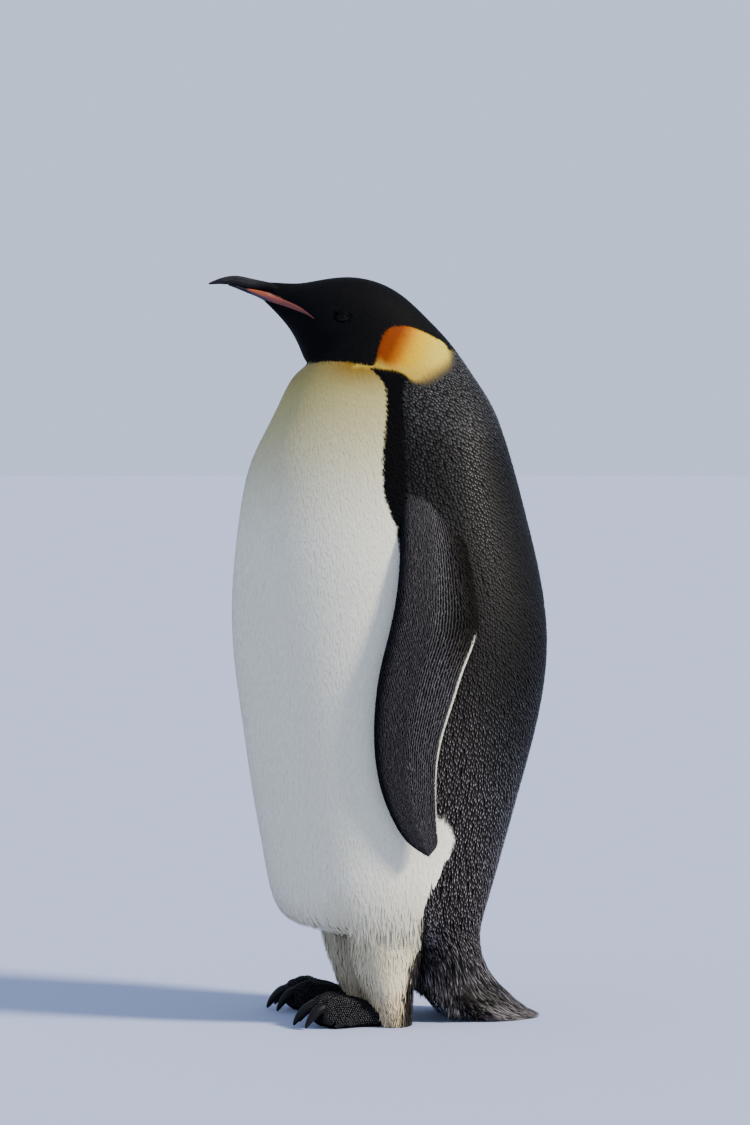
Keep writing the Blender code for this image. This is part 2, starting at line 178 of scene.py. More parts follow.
# Upper and lower bill from inside the head to the tip: y, top, bottom, half width.
UPPER_BILL_STATIONS = (
    (-0.128, 0.976, 0.96, 0.0115),
    (-0.15, 0.981, 0.9675, 0.0112),
    (-0.1635, 0.9838, 0.9698, 0.0098),
    (-0.177, 0.9868, 0.9722, 0.0082),
    (-0.189, 0.9884, 0.9757, 0.0067),
    (-0.2, 0.9874, 0.9768, 0.0054),
    (-0.21, 0.9848, 0.9774, 0.004),
    (-0.219, 0.9812, 0.977, 0.0025),
    (-0.2246, 0.9785, 0.9768, 0.0008),
)
LOWER_BILL_STATIONS = (
    (-0.128, 0.9595, 0.942, 0.0098),
    (-0.15, 0.967, 0.9548, 0.0098),
    (-0.1635, 0.9693, 0.9615, 0.0086),
    (-0.177, 0.9717, 0.9668, 0.0068),
    (-0.189, 0.9752, 0.9718, 0.0046),
    (-0.1985, 0.9764, 0.9752, 0.0014),
)
BILL_SIDES = 10
# Coloured plate on each side of the lower bill: y, top, bottom, outer x.
PLATE_STATIONS = (
    (-0.1765, 0.9712, 0.9696, 0.0076),
    (-0.168, 0.9702, 0.965, 0.0096),
    (-0.154, 0.9676, 0.9578, 0.0122),
    (-0.14, 0.9636, 0.9524, 0.0146),
    (-0.126, 0.9584, 0.9478, 0.0186),
    (-0.112, 0.9516, 0.9424, 0.0262),
    (-0.099, 0.9425, 0.9368, 0.0333),
    (-0.088, 0.932, 0.93, 0.0381),
)
PLATE_THICKNESS = 0.0036
PLATE_SIDES = 8
EYE_CENTRE = (0.0372, -0.0505, 0.9335)
EYE_RADIUS = 0.011
EYE_TILT = math.radians(8)
LID_THICKNESS = 0.0007
# Depth of the coat on a flipper, and of the scales on a foot.
FLIPPER_COAT = 0.0009
FOOT_SCALES = 0.0006
SCALE_PITCH = 0.0031


def between(first, last, share):
    """The value that lies a share of the way from the first to the last."""
    return first + (last - first) * share


def stacked(*parts):
    """Arrays of x, y and z, or of other parts, as the last axis of one array."""
    return np.stack(np.broadcast_arrays(*parts), axis=-1)


def signed_power(values, power):
    """The sizes of the values raised to a power, with the values' own signs."""
    return np.sign(values) * np.abs(values) ** power


def ring_parts(stations, sides):
    """The angles round a ring, and the columns of a table of stations, one below the other."""
    return np.arange(sides) * TURN / sides, np.array(stations).T[:, :, None]


def body_rings():
    """Rings of the body: a squarish oval from the front point to the back one, bulging by its sine."""
    angle, (front_y, front_z, back_y, back_z, half_width, widest) = ring_parts(BODY_STATIONS, BODY_SIDES)
    across = signed_power(np.sin(angle), BODY_SQUARENESS)
    along = (1 - signed_power(np.cos(angle), BODY_SQUARENESS)) / 2
    share = along + (widest - 0.5) * np.sin(angle) ** 2
    return stacked(half_width * across, between(front_y, back_y, share), between(front_z, back_z, share))


def flipper_rings(side, inset=0.0):
    """Rings of a flipper: a blunt leading edge, and a thin trailing one. An inset makes it that much
    smaller all round."""
    angle, columns = ring_parts(FLIPPER_STATIONS, FLIPPER_SIDES)
    lead_y, lead_z, trail_y, trail_z, lead_x, trail_x, thick = columns
    lead_y, trail_y, thick = lead_y + inset, trail_y - inset, np.maximum(thick - 2 * inset, 0.0008)
    chord = (1 - np.cos(angle)) / 2
    bulge = np.sin(angle) * (1 - chord) ** 0.5 * 1.25
    edge = np.minimum(EDGE_THICKNESS - inset, thick)
    x = between(lead_x, trail_x, chord) + edge / 2 * np.sin(angle) + (thick - edge) / 2 * bulge
    return stacked(side * x, between(lead_y, trail_y, chord), between(lead_z, trail_z, chord))


def leg_rings(side, ankle_y):
    """Rings of a leg, each slanting down from its front point to its rear one."""
    angle, (front_y, front_z, rear_y, rear_z, half_width) = ring_parts(LEG_STATIONS, LEG_SIDES)
    share = (1 - np.cos(angle)) / 2
    x = side * LEG_X + half_width * np.sin(angle)
    y = ankle_y + front_y + (rear_y - front_y) * share
    return stacked(x, y, between(front_z, rear_z, share))


def upright_rings(stations, sides):
    """Rings that stand across Y, each with its y, top, bottom and half width."""
    angle, (y, top, bottom, half_width) = ring_parts(stations, sides)
    return stacked(half_width * np.sin(angle), y, (top + bottom) / 2 + (top - bottom) / 2 * np.cos(angle))


def claw_rings():
    """Rings of a claw along its own bent line, in the plane of its toe."""
    angle, (forward, height, half_width, half_depth) = ring_parts(CLAW_STATIONS, CLAW_SIDES)
    heading = np.gradient(np.array(CLAW_STATIONS)[:, :2], axis=0)
    heading /= np.linalg.norm(heading, axis=1, keepdims=True)
    ahead, up = heading.T[:, :, None]
    lift = half_depth * np.cos(angle)
    return stacked(half_width * np.sin(angle), lift * up - forward, height + lift * ahead)


def plate_rings(side):
    """Rings of a plate: thin ovals whose outer side is at the station's x."""
    y, top, bottom, outer_x = np.array(PLATE_STATIONS).T
    half = np.minimum(PLATE_THICKNESS, outer_x) / 2
    rings = upright_rings(np.stack([y, top, bottom, half], axis=1), PLATE_SIDES)
    rings[..., 0] = side * ((outer_x - half)[:, None] + rings[..., 0])
    return rings


def turned(rings, degrees, origin):
    """The rings turned about Z by the angle, then moved to the origin."""
    cosine, sine = math.cos(math.radians(degrees)), math.sin(math.radians(degrees))
    x, y, z = np.moveaxis(rings, -1, 0)
    return stacked(x * cosine - y * sine, x * sine + y * cosine, z) + np.array(origin)


# ---------------------------------------------------------------- smooth tubes


def through_line(points):
    """Cubic B-spline control points of curves that pass through the points and end at them."""
    count = len(points)
    weights = np.eye(count)
    inner = np.arange(1, count - 1)
    weights[inner, inner] = 4 / 6
    weights[inner, inner - 1] = 1 / 6
    weights[inner, inner + 1] = 1 / 6
    return np.linalg.solve(weights, points.reshape(count, -1)).reshape(points.shape)


def through_ring(rings):
    """The same for closed rings, whose points lie along the second axis."""
    count = rings.shape[1]
    step = np.roll(np.eye(count), 1, axis=1)
    weights = (np.eye(count) * 4 + step + step.T) / 6
    return np.einsum("ij,njk->nik", np.linalg.inv(weights), rings)


def spline_weights(t):
    """Weights of the four control points round a span of a uniform cubic B-spline, and their slopes."""
    weights = [(1 - t) ** 3, 3 * t**3 - 6 * t**2 + 4, 3 * (t + t**2 - t**3) + 1, t**3]
    slopes = [-((1 - t) ** 2), 3 * t**2 - 4 * t, 1 + 2 * t - 3 * t**2, t**2]
    return np.stack(weights, -1) / 6, np.stack(slopes, -1) / 2


class Loft:
    """A tube through rings: a uniform bicubic B-spline in a station along it and a side round it. Past its
    ends it runs straight on."""

    def __init__(self, rings):
        control = through_ring(through_line(rings))
        before = 2 * control[:1] - control[1:2]
        after = 2 * control[-1:] - control[-2:-1]
        self.control = np.concatenate([before, control, after])
        self.stations = rings.shape[0] - 1
        self.sides = rings.shape[1]
        self.turn = 1.0
        station, side = np.meshgrid(np.linspace(0, self.stations, 20), np.arange(self.sides) + 0.0)
        points, _, _, normal = self.at(station, side)
        middle = self.at(station, side + self.sides / 2)[0]
        self.turn = float(np.sign(((points - middle) * normal).sum(-1).mean()))

    def at(self, station, side):
        """Points, the slopes along and round, and the outward unit normals, at arrays of places."""
        shape = np.shape(station)
        wanted, side = np.ravel(station), np.ravel(side)
        station = np.clip(wanted, 0, self.stations)
        row = np.clip(np.floor(station), 0, self.stations - 1).astype(int)
        column = np.floor(side).astype(int)
        weight_a, slope_a = spline_weights(station - row)
        weight_b, slope_b = spline_weights(side - column)
        results = np.empty((3, len(row), 3))
        for start in range(0, len(row), 100000):
            part = slice(start, start + 100000)
            rows = row[part, None] + np.arange(4)
            columns = (column[part, None] + np.arange(-1, 3)) % self.sides
            grid = self.control[rows[:, :, None], columns[:, None, :]]
            across = np.einsum("nj,nijk->nik", weight_b[part], grid)
            results[0, part] = np.einsum("ni,nik->nk", weight_a[part], across)
            results[1, part] = np.einsum("ni,nik->nk", slope_a[part], across)
            turning = np.einsum("nj,nijk->nik", slope_b[part], grid)
            results[2, part] = np.einsum("ni,nik->nk", weight_a[part], turning)
        points, along, round_ = results
        points = points + along * (wanted - station)[:, None]
        normal = np.cross(along, round_) * self.turn
        normal /= np.maximum(np.linalg.norm(normal, axis=-1, keepdims=True), 1e-12)
        return [values.reshape(*shape, 3) for values in (points, along, round_, normal)]


BODY_LOFT = Loft(body_rings())
FLIPPER_LOFT = {name: Loft(flipper_rings(sign)) for name, sign in SIDES}
LEG_LOFT = {name: Loft(leg_rings(sign, LEG_Y[name])) for name, sign in SIDES}
PAD_LOFT = {}
TOE_LOFT = {}
CLAW_LOFT = {}
for side_name, side_sign in SIDES:
    ankle = (side_sign * LEG_X, LEG_Y[side_name], 0)
    pad = upright_rings([(y, top, -1.5 * SOLE_DROP, half) for y, top, half in PAD_STATIONS], TOE_SIDES)
    PAD_LOFT[side_name] = Loft(turned(pad, side_sign * FOOT_TURN_OUT, ankle))
    for toe_name, (spread, size) in TOES.items():
        key, toe_turn = (side_name, toe_name), side_sign * (FOOT_TURN_OUT + spread)
        toe = [(-ahead * size, top * size, low, half * size) for ahead, top, low, half in TOE_STATIONS]
        TOE_LOFT[key] = Loft(turned(upright_rings(toe, TOE_SIDES), toe_turn, ankle))
        CLAW_LOFT[key] = Loft(turned(claw_rings() * (size, size, 1), toe_turn, ankle))


def check_against_frame(loft, nodes, sides=(1, 1, 1, 1, 1, 1)):
    """Raises an error if a tube isn't where the frame has the nodes that it stands for. sides says which
    of the box's six sides count, the low ones first."""
    station, side = np.meshgrid(np.linspace(0, loft.stations, 160), np.linspace(0, loft.sides, 80))
    points = loft.at(station, side)[0].reshape(-1, 3)
    boxes = np.array([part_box(node) for node in nodes])
    low = np.maximum(points.min(axis=0), [-9, -9, FLOOR]) - boxes[:, 0].min(axis=0)
    high = points.max(axis=0) - boxes[:, 1].max(axis=0)
    gap = np.abs(np.concatenate([low, high]) * sides).max()
    if gap > 0.004:
        raise RuntimeError(f"{nodes} are {gap * 1000:.1f} mm away from the frame's")


def net(loft, rows, columns):
    """Stations and sides of a net of points that closes round a tube."""
    along, round_ = np.linspace(0, loft.stations, rows), np.arange(columns) * loft.sides / columns
    return np.meshgrid(along, round_, indexing="ij")


def inside_tube(loft, points, margin, stations=None, sides=None):
    """True where a point lies inside a tube, or less than the margin outside it, judged by the nearest of
    a net of the tube's points."""
    stations = np.linspace(0, loft.stations, 60) if stations is None else stations
    sides = np.arange(40) * loft.sides / 40 if sides is None else sides
    near, _, _, normal = (values.reshape(-1, 3) for values in loft.at(*np.meshgrid(stations, sides)))
    inside = np.zeros(len(points), bool)
    for start in range(0, len(points), 2000):
        part = slice(start, start + 2000)
        nearest = ((points[part, None] - near[None]) ** 2).sum(-1).argmin(1)
        inside[part] = ((points[part] - near[nearest]) * normal[nearest]).sum(1) < margin
    return inside


# ---------------------------------------------------------------- meshes and materials


def linked(name, data):
    """A new object in the scene."""
    made = bpy.data.objects.new(name, data)
    bpy.context.scene.collection.objects.link(made)
    return made


def placed(name, mesh, material, slot=None, replaced=()):
    """A smooth object of a mesh, with its finish, that rides on the frame if it has a slot."""
    mesh.shade_smooth()
    mesh.materials.clear()
    mesh.materials.append(material)
    piece = linked(name, mesh)
    if slot:
        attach(piece, BODY)
    if replaced:
        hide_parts(*replaced)
    return piece


def new_piece(name, points, faces, material, slot=None, replaced=()):
    """A piece from points and an array of triangles or of quads."""
    mesh = bpy.data.meshes.new(name)
    mesh.vertices.add(len(points))
    mesh.vertices.foreach_set("co", np.ascontiguousarray(points, np.float32).ravel())
    mesh.loops.add(faces.size)
    mesh.loops.foreach_set("vertex_index", np.ascontiguousarray(faces, np.int32).ravel())
    mesh.polygons.add(len(faces))
    mesh.polygons.foreach_set("loop_start", np.arange(0, faces.size, faces.shape[1], dtype=np.int32))
    mesh.update(calc_edges=True)
    mesh.validate()
    return placed(name, mesh, material, slot, replaced)


def grid_faces(rows, columns):
    """Quads of a net of rows, whose columns join up into rings."""
    row, column = np.meshgrid(np.arange(rows - 1) * columns, np.arange(columns), indexing="ij")
    beside = (column + 1) % columns
    after = row + columns
    return np.stack([row + column, row + beside, after + beside, after + column], -1).reshape(-1, 4)


def closed_tube(points):
    """Points and quads of a tube of rings, its ends shut by fans of thin quads to a middle point."""
    rows, columns, _ = points.shape
    flat = np.concatenate([points.reshape(-1, 3), points[0].mean(0)[None], points[-1].mean(0)[None]])
    step = np.arange(0, columns, 2)
    fan = np.stack([step, (step + 1) % columns, (step + 2) % columns], -1)
    hub = np.full((len(step), 1), rows * columns)
    start = np.concatenate([hub, fan[:, ::-1]], -1)
    end = np.concatenate([fan + (rows - 1) * columns, hub + 1], -1)
    return flat, np.concatenate([grid_faces(rows, columns), start, end])


def outward(points, quads):
    """The quads of a closed shape, turned round if its volume comes out negative."""
    a, b, c, d = (points[quads[:, corner]] for corner in range(4))
    volume = (np.cross(b - a, c - a) * a).sum() + (np.cross(c - a, d - a) * a).sum()
    return quads if volume > 0 else quads[:, ::-1]


def tube_piece(name, points, material, slot, node):
    """A piece from the rings of a tube, in place of a node of the frame."""
    points, quads = closed_tube(points)
    return new_piece(name, points, outward(points, quads), material, slot, (node,))


def write_colours(mesh, name, colours):
    """A colour for each point, with a fourth channel that the material reads on its own."""
    if colours.shape[-1] == 3:
        colours = np.insert(colours, 3, 1.0, axis=-1)
    layer = mesh.color_attributes.new(name, "FLOAT_COLOR", "POINT")
    layer.data.foreach_set("color", np.ascontiguousarray(colours, np.float32).ravel())


def write_map(mesh, places):
    """The bake map, from the place of each point."""
    corner_points = np.empty(len(mesh.loops), np.int32)
    mesh.loops.foreach_get("vertex_index", corner_points)
    layer = mesh.uv_layers.new(name="OFBake")
    layer.data.foreach_set("uv", np.ascontiguousarray(places[corner_points], np.float32).ravel())


class Nodes:
    """Short calls that add nodes to a material and join them. Its paint is a colour stored with the
    points, and that colour's fourth value."""

    def __init__(self, name, stored=None):
        self.material = bpy.data.materials.new(name)
        self.material.use_nodes = True
        self.tree = self.material.node_tree
        self.shader = self.tree.nodes["Principled BSDF"]
        if stored:
            attribute = self.add("Attribute", {"attribute_name": stored, "attribute_type": "GEOMETRY"})
            self.paint, self.paint_value = attribute.outputs["Color"], attribute.outputs["Alpha"]

    def add(self, kind, settings=None, **inputs):
        node = self.tree.nodes.new("ShaderNode" + kind)
        for key, value in (settings or {}).items():
            setattr(node, key, value)
        self.fill(node, inputs)
        return node

    def fill(self, node, inputs):
        for key, value in inputs.items():
            self.join(value, node.inputs[key.replace("_", " ")])

    def join(self, value, socket):
        if isinstance(value, bpy.types.NodeSocket):
            self.tree.links.new(value, socket)
        else:
            socket.default_value = value

    def surface(self, **inputs):
        self.fill(self.shader, inputs)

    def coordinates(self):
        return self.add("TexCoord").outputs["Object"]

    def noise(self, scale, detail=3.0, roughness=0.5, stretch=None):
        """Noise, drawn out along Y by a stretch below 1."""
        vector = self.coordinates()
        if stretch:
            vector = self.add("Mapping", Vector=vector, Scale=(1.0, stretch, 1.0)).outputs["Vector"]
        node = self.add("TexNoise", Vector=vector, Scale=scale, Detail=detail, Roughness=roughness)
        return node.outputs["Fac"]

    def ramp(self, factor, *stops):
        """A colour ramp through pairs of a place and a colour or a grey value."""
        node = self.add("ValToRGB", Fac=factor)
        for element, (place, colour) in zip(node.color_ramp.elements, stops):
            element.position = place
            element.color = (*np.broadcast_to(colour, 3).tolist(), 1)
        return node.outputs["Color"]

    def mix(self, factor, first, second, blend="MIX"):
        node = self.add("Mix", {"data_type": "RGBA", "blend_type": blend})
        for value, number in ((factor, 0), (first, 6), (second, 7)):
            self.join(value, node.inputs[number])
        return node.outputs[2]

    def darkened(self, colour, pattern, *stops):
        """A colour times a pattern's ramp."""
        return self.mix(1.0, colour, self.ramp(pattern, *stops), "MULTIPLY")

    def scaled(self, value, low, high):
        return self.add("MapRange", Value=value, To_Min=low, To_Max=high).outputs["Result"]

    def bump(self, height, distance, strength=1.0):
        node = self.add("Bump", Height=height, Distance=distance, Strength=strength)
        self.surface(Normal=node.outputs["Normal"])


# ---------------------------------------------------------------- markings

# Outlines of the markings as seen from the side, as y, z, alike on both sides of the bird. A smooth
# curve runs through each.
HOOD_EDGE = (
    (-0.1, 0.871), (-0.055, 0.8735), (-0.02, 0.8685), (-0.009, 0.873), (-0.005, 0.89),
    (0.003, 0.91), (0.014, 0.919), (0.037, 0.92), (0.064, 0.91), (0.086, 0.898), (0.094, 0.888),
    (0.13, 0.886),
)
HOOD_CORNERS = ((0.13, 1.04), (-0.25, 1.04), (-0.25, 0.871))
PATCH_OUTLINE = (
    (-0.04, 0.866), (-0.022, 0.885), (-0.012, 0.915), (0.037, 0.935), (0.075, 0.925), (0.1, 0.903),
    (0.097, 0.884), (0.086, 0.869), (0.069, 0.857), (0.052, 0.849), (0.037, 0.849), (0.023, 0.8595),
    (0.0, 0.864), (-0.02, 0.8655),
)
# Rear edge of the white front from the throat to the foot.
WHITE_EDGE = (
    (-0.018, 0.866), (-0.005, 0.852), (0.002, 0.834), (0.0, 0.795), (-0.006, 0.745), (-0.004, 0.694),
    (0.008, 0.661), (0.014, 0.62), (0.035, 0.52), (0.05, 0.41), (0.058, 0.3), (0.07, 0.277),
    (0.086, 0.253), (0.076, 0.221), (0.059, 0.184), (0.044, 0.145), (0.045, 0.108), (0.034, 0.08),
    (0.027, 0.056), (0.02, 0.0),
)
# Where the black stripe behind it turns grey.
STRIPE_EDGE = ((0.034, 0.85), (0.025, 0.838), (0.024, 0.78), (0.025, 0.72), (0.021, 0.68), (0.019, 0.62))

# Where a flipper's rear edge meets the body, from the shoulder down.
FLIPPER_REAR = ((0.06, 0.73),) + tuple(row[2:4] for row in FLIPPER_STATIONS[:6])
# Shades of the white on the legs, of the white low on the body, and of the grey on the nape.
LEG_SHADE = (0.81, 0.745, 0.63)
LOW_SHADE = (0.88, 0.83, 0.74)
NAPE_TONE = (1.3, 1.25, 1.02)
# Kinds of feather on the body.
VELVET, LIGHT, GREY = range(3)
FLIPPER_END = len(FLIPPER_STATIONS) - 1


def curve_through(points, closed=False):
    """A smooth curve through the points, ten steps to each span."""
    points = np.array(points, float)
    if closed:
        control = through_ring(points[None])[0]
        spans, padded = len(points), np.concatenate([control[-1:], control, control[:2]])
    else:
        control = through_line(points)
        before, after = 2 * control[0] - control[1], 2 * control[-1] - control[-2]
        spans, padded = len(points) - 1, np.concatenate([before[None], control, after[None]])
    place = np.linspace(0, spans, spans * 10 + 1)[: spans * 10 + (not closed)]
    row = np.minimum(place.astype(int), spans - 1)
    weights = spline_weights(place - row)[0]
    return np.einsum("ni,nik->nk", weights, padded[row[:, None] + np.arange(4)])


def ease(low, high, values):
    """A smooth step from 0 at low to 1 at high: three times the share's square less twice its cube."""
    share = np.clip((values - low) / (high - low), 0, 1)
    return share * share * (3 - 2 * share)


def edge_at(edge, z):
    """The y of an edge that runs downwards, at each height."""
    places, heights = curve_through(edge)[::-1].T
    return np.interp(z, heights, places)


def depth_inside(outline, y, z):
    """Distance of each point from a closed outline of corners, positive inside it."""
    corners = np.asarray(outline)
    place = np.stack([y, z], -1)
    nearest = np.full(len(y), np.inf)
    inside = np.zeros(len(y), bool)
    for start, end in zip(corners, np.roll(corners, -1, axis=0)):
        run = end - start
        share = np.clip((place - start) @ run / (run @ run), 0, 1)
        nearest = np.minimum(nearest, np.linalg.norm(place - start - share[:, None] * run, axis=1))
        crosses = (start[1] > z) != (end[1] > z)
        rise = run[1] if run[1] else 1.0
        inside ^= crosses & (y < start[0] + (z - start[1]) / rise * run[0])
    return np.where(inside, nearest, -nearest)


def blended(first, second, share):
    """Colours a share of the way from the first to the second, with a share for each point."""
    return first + (second - first) * share[..., None]


def back_tones(y, z, colours):
    """Base and tip of the grey feathers: browner and brighter towards the rump, lighter on the nape, and
    darkened by painted shade in the fold behind the flipper and along the spine."""
    brown = np.maximum(ease(0.62, 0.5, z) * ease(0.16, 0.1, y) * 0.6, ease(0.3, 0.12, z) * 0.45)
    low = ease(0.52, 0.25, z)
    base = blended(colours.back_base, colours.brown * 0.25, np.maximum(brown, low * 0.6))
    tip = blended(colours.back_tip, colours.brown, brown * 0.5) * (1 + 5.0 * low)[:, None]
    nape = ease(0.75, 0.83, z)[:, None] * NAPE_TONE
    tip = tip * (1 + nape - 0.15 * ease(0.4, 0.55, z)[:, None])
    # Painted shade: the tips are darkened in the fold behind the flipper's rear edge and along the spine,
    # standing in for shadow there.
    behind = y - edge_at(FLIPPER_REAR, z)
    crease_shadow = ease(-0.004, 0.001, behind) * ease(0.01, 0.002, behind) * ease(0.47, 0.55, z)
    deep = 0.8 * crease_shadow * ease(0.75, 0.7, z) + 0.5 * ease(0.09, 0.18, y) * ease(0.25, 0.4, z)
    tip = tip * (1 - np.minimum(deep, 0.85)[:, None])
    return base, tip * (1 - 0.5 * ease(0.13, 0.07, z)[:, None])


def light_tones(y, z, colours):
    """The front's colour: white, duller low down and on the legs, creamy on the breast, partly as painted
    shade below the chin, gold on the throat.
    """
    light = blended(colours.white, colours.white * LOW_SHADE, ease(0.2, 0.1, z))
    leg = ease(0.215, 0.125, z) * ease(-0.095, -0.06, y)
    light = blended(light, colours.white * LEG_SHADE, leg)
    # The breast's creamy yellow is partly its own colour and partly painted shade below the chin.
    light = blended(light, colours.cream_and_shade, ease(0.61, 0.85, z))
    gold = ease(0.812, 0.874, z) ** 1.5 * (0.4 + 0.6 * ease(-0.1, -0.03, y))
    return blended(light, colours.gold, gold)


def patch_tones(y, z, colours):
    """The ear patch from front to rear: orange, amber, yellow and pale. The strip below it is pale too."""
    back = y + 0.55 * (0.905 - z)
    warm = blended(colours.patch_orange, colours.patch_amber, np.clip((back - 0.02) / 0.019, 0, 1))
    warm = blended(warm, colours.patch_yellow, ease(0.031, 0.056, back))
    warm = blended(warm, colours.patch_pale, np.clip((back - 0.054) / 0.03, 0, 1))
    strip = ease(0.876, 0.858, z - 0.007 * ease(0.01, -0.005, y))
    return blended(warm, colours.patch_pale * (0.86, 0.74, 0.74), strip)


def plumage(points, colours):
    """Colours of the plumage at points, at the feather's base and at its tip, its kind, and how much of
    its colour is light. The grey back is painted first, then the stripe, the front, the ear patch and the
    hood, each with a soft edge that wanders a little."""
    y, z = points[:, 1], points[:, 2]
    wander = 0.0008 * np.sin(z * 900 + 40 * y) + 0.0006 * np.sin(z * 2300 + 7 * points[:, 0])
    base, tip = back_tones(y, z, colours)

    behind = y - edge_at(STRIPE_EDGE, z)
    upper = ease(0.6, 0.64, z)
    stripe = ease(0.006, -0.006, behind + 2.5 * wander) * upper
    beside = np.maximum(ease(0.0, 0.5, stripe), 0.6 * ease(0.018, 0.0, behind) * upper)
    base = blended(base, colours.black * 0.5, stripe)
    tip = blended(tip, colours.black * 0.5, beside)

    light = light_tones(y, z, colours)
    is_light = ease(-0.0006, 0.0006, edge_at(WHITE_EDGE, z) - y + wander)
    base = blended(base, light * 0.97, is_light)
    tip = blended(tip, light, is_light)

    in_patch, in_hood = np.full((2, len(y)), -1.0)
    high = z > 0.83
    hood_outline = np.concatenate([curve_through(HOOD_EDGE), HOOD_CORNERS])
    in_patch[high] = depth_inside(curve_through(PATCH_OUTLINE, True), y[high], z[high])
    in_hood[high] = depth_inside(hood_outline, y[high], z[high])
    patch = ease(-1, 1, in_patch / (0.001 + 0.011 * ease(0.022, 0.065, y))) * ease(0.103, 0.088, y)
    hood = ease(-1, 1, (in_hood + wander * 0.3) / (0.0006 + 0.008 * ease(0.085, 0.105, y)))
    warm = patch_tones(y, z, colours)
    base = blended(blended(base, warm * 0.9, patch), colours.black, hood)
    tip = blended(blended(tip, warm, patch), colours.black, hood)

    velvet = (hood > 0.5) | ((stripe > 0.5) & (is_light < 0.5) & (patch < 0.5))
    kind = np.where(velvet, VELVET, np.where((is_light > 0.5) | (patch > 0.2), LIGHT, GREY))
    return base, tip, kind, np.maximum(is_light, patch) * (1 - hood)


def flipper_place(side):
    """Share of the way from a flipper's leading edge to its rear one, and how far out it faces."""
    angle = side * TURN / FLIPPER_SIDES
    return (1 - np.cos(angle)) / 2, np.sin(angle)


def rear_rows(side):
    """1 on the rear half of a flipper, where its feathers are larger and lie in rows along it."""
    return ease(0.42, 0.58, flipper_place(side)[0])


def flipper_plumage(station, side, colours):
    """Both colours on a flipper, dark outside with a white rear rim, and pale inside with a dark border, and
    how pale each place is. Its upper rear part is darkened by painted shade where it tucks under the back."""
    chord, outside = flipper_place(side)
    along = station / FLIPPER_END
    lead = ease(0.16, 0.03, chord)
    base = blended(colours.flipper * 0.15, colours.flipper_lead * 0.4, lead)
    tip = blended(colours.flipper, colours.flipper_lead, lead)
    tip = tip * (1 + 0.25 * ease(0.35, 0.15, along))[:, None]
    tip = blended(tip, colours.brown * 0.8, ease(0.66, 0.93, chord) * ease(0.45, 0.35, along) * 0.8)
    # Painted shade: the upper rear of the flipper is darkened where it tucks under the back.
    tip = tip * (1 - 0.9 * ease(0.45, 0.9, chord) * ease(0.46, 0.28, along))[:, None]
    edge = 0.972 + 0.012 * ease(0.55, 0.75, along)
    rim = ease(-0.006, 0.006, chord - edge) * ease(0.31, 0.37, along) * ease(0.9, 0.84, along)
    inner = ease(0.1, 0.16, chord) * ease(0.95, 0.88, chord) * (1 - ease(-0.1, 0.05, outside))
    inner = inner * ease(0.93, 0.8, along) * (1 - ease(0.44, 0.38, along) * ease(0.7, 0.82, chord))
    light = np.maximum(rim, inner)
    return blended(base, colours.white * 0.8, light), blended(tip, colours.white, light), light


# ---------------------------------------------------------------- coat

# Along the body from the bill's base to the tail: station, distance between rows of feathers,
# distance between feathers in a row, depth of the coat.
COAT_PLAN = (
    (0.0, 0.0018, 0.0014, 0.0006),
    (2.0, 0.0024, 0.0017, 0.0009),
    (4.0, 0.0029, 0.002, 0.0013),
    (6.0, 0.0036, 0.0023, 0.0018),
    (8.0, 0.0046, 0.0029, 0.0024),
    (10.0, 0.0058, 0.0035, 0.003),
    (14.0, 0.006, 0.0037, 0.0032),
    (18.0, 0.0064, 0.0038, 0.0036),
    (21.0, 0.0076, 0.004, 0.0044),
    (25.0, 0.01, 0.0046, 0.004),
)
# Stretches of the body that are feathered one after another, and the pieces that each gives: velvet
# black, light and grey feathers.
COAT_STRETCHES = (
    (0.0, 1.2, ("bill_base_feathers", None, None)),
    (1.2, 2.6, ("face_feathers", None, None)),
    (2.6, 5.0, ("crown_feathers", "throat_feathers", None)),
    (5.0, 8.0, ("collar_feathers", "throat_feathers", "nape_feathers")),
    (8.0, 12.0, ("stripe_feathers", "breast_feathers", "mantle_feathers")),
    (12.0, 16.0, ("stripe_feathers", "belly_feathers", "back_feathers")),
    (16.0, 20.0, (None, "lower_belly_feathers", "rump_feathers")),
    (20.0, 24.2, (None, "vent_feathers", "tail_coverts")),
)
COAT_SLOTS = {
    "throat_feathers": "neck_plumage",
    "nape_feathers": "neck_plumage",
    "collar_feathers": "neck_plumage",
    "stripe_feathers": "neck_plumage",
    "tail_coverts": "tail_plumage",
}
# Tiers of tail quills: station of their roots, length, number, and height over the first tier's base.
QUILL_TIERS = ((22.6, 0.088, 15, 0.0008), (21.9, 0.07, 13, 0.0024), (21.2, 0.055, 12, 0.0036))
# Rows of points, three in each, make a vane: share of the length, share of the width
# where the tip is round and where it is pointed, and rise from the skin to the top of the coat.
VANE_ROWS = np.array((
    (0.0, 0.55, 0.7, 0.0),
    (0.38, 1.0, 1.0, 0.44),
    (0.68, 1.0, 0.8, 0.74),
    (0.9, 0.74, 0.46, 0.94),
    (1.0, 0.3, 0.12, 1.0),
))
SMALL_VANE_ROWS = np.array(((0.0, 0.7, 0.7, 0.0), (0.55, 1.0, 0.9, 0.6), (1.0, 0.55, 0.25, 1.0)))


def coat_plan(station):
    """Distance between rows, distance in a row, and depth of the coat at each station of the body."""
    places, rows, across, depths = np.array(COAT_PLAN).T
    return [np.interp(station, places, values) for values in (rows, across, depths)]


def even_sides(loft, station, pitch):
    """Places round a tube that are a pitch apart at the station, an even number of them. The pitch is
    a number, or a function of the side."""
    fine = np.linspace(0, loft.sides, 721)
    ring = loft.at(np.full(721, station), fine)[0]
    steps = np.linalg.norm(np.diff(ring, axis=0), axis=1)
    run = np.concatenate([[0], np.cumsum(steps / (pitch(fine[1:]) if callable(pitch) else pitch))])
    columns = max(int(run[-1] / 2), 4) * 2
    return np.interp(np.arange(columns) * run[-1] / columns, run, fine)


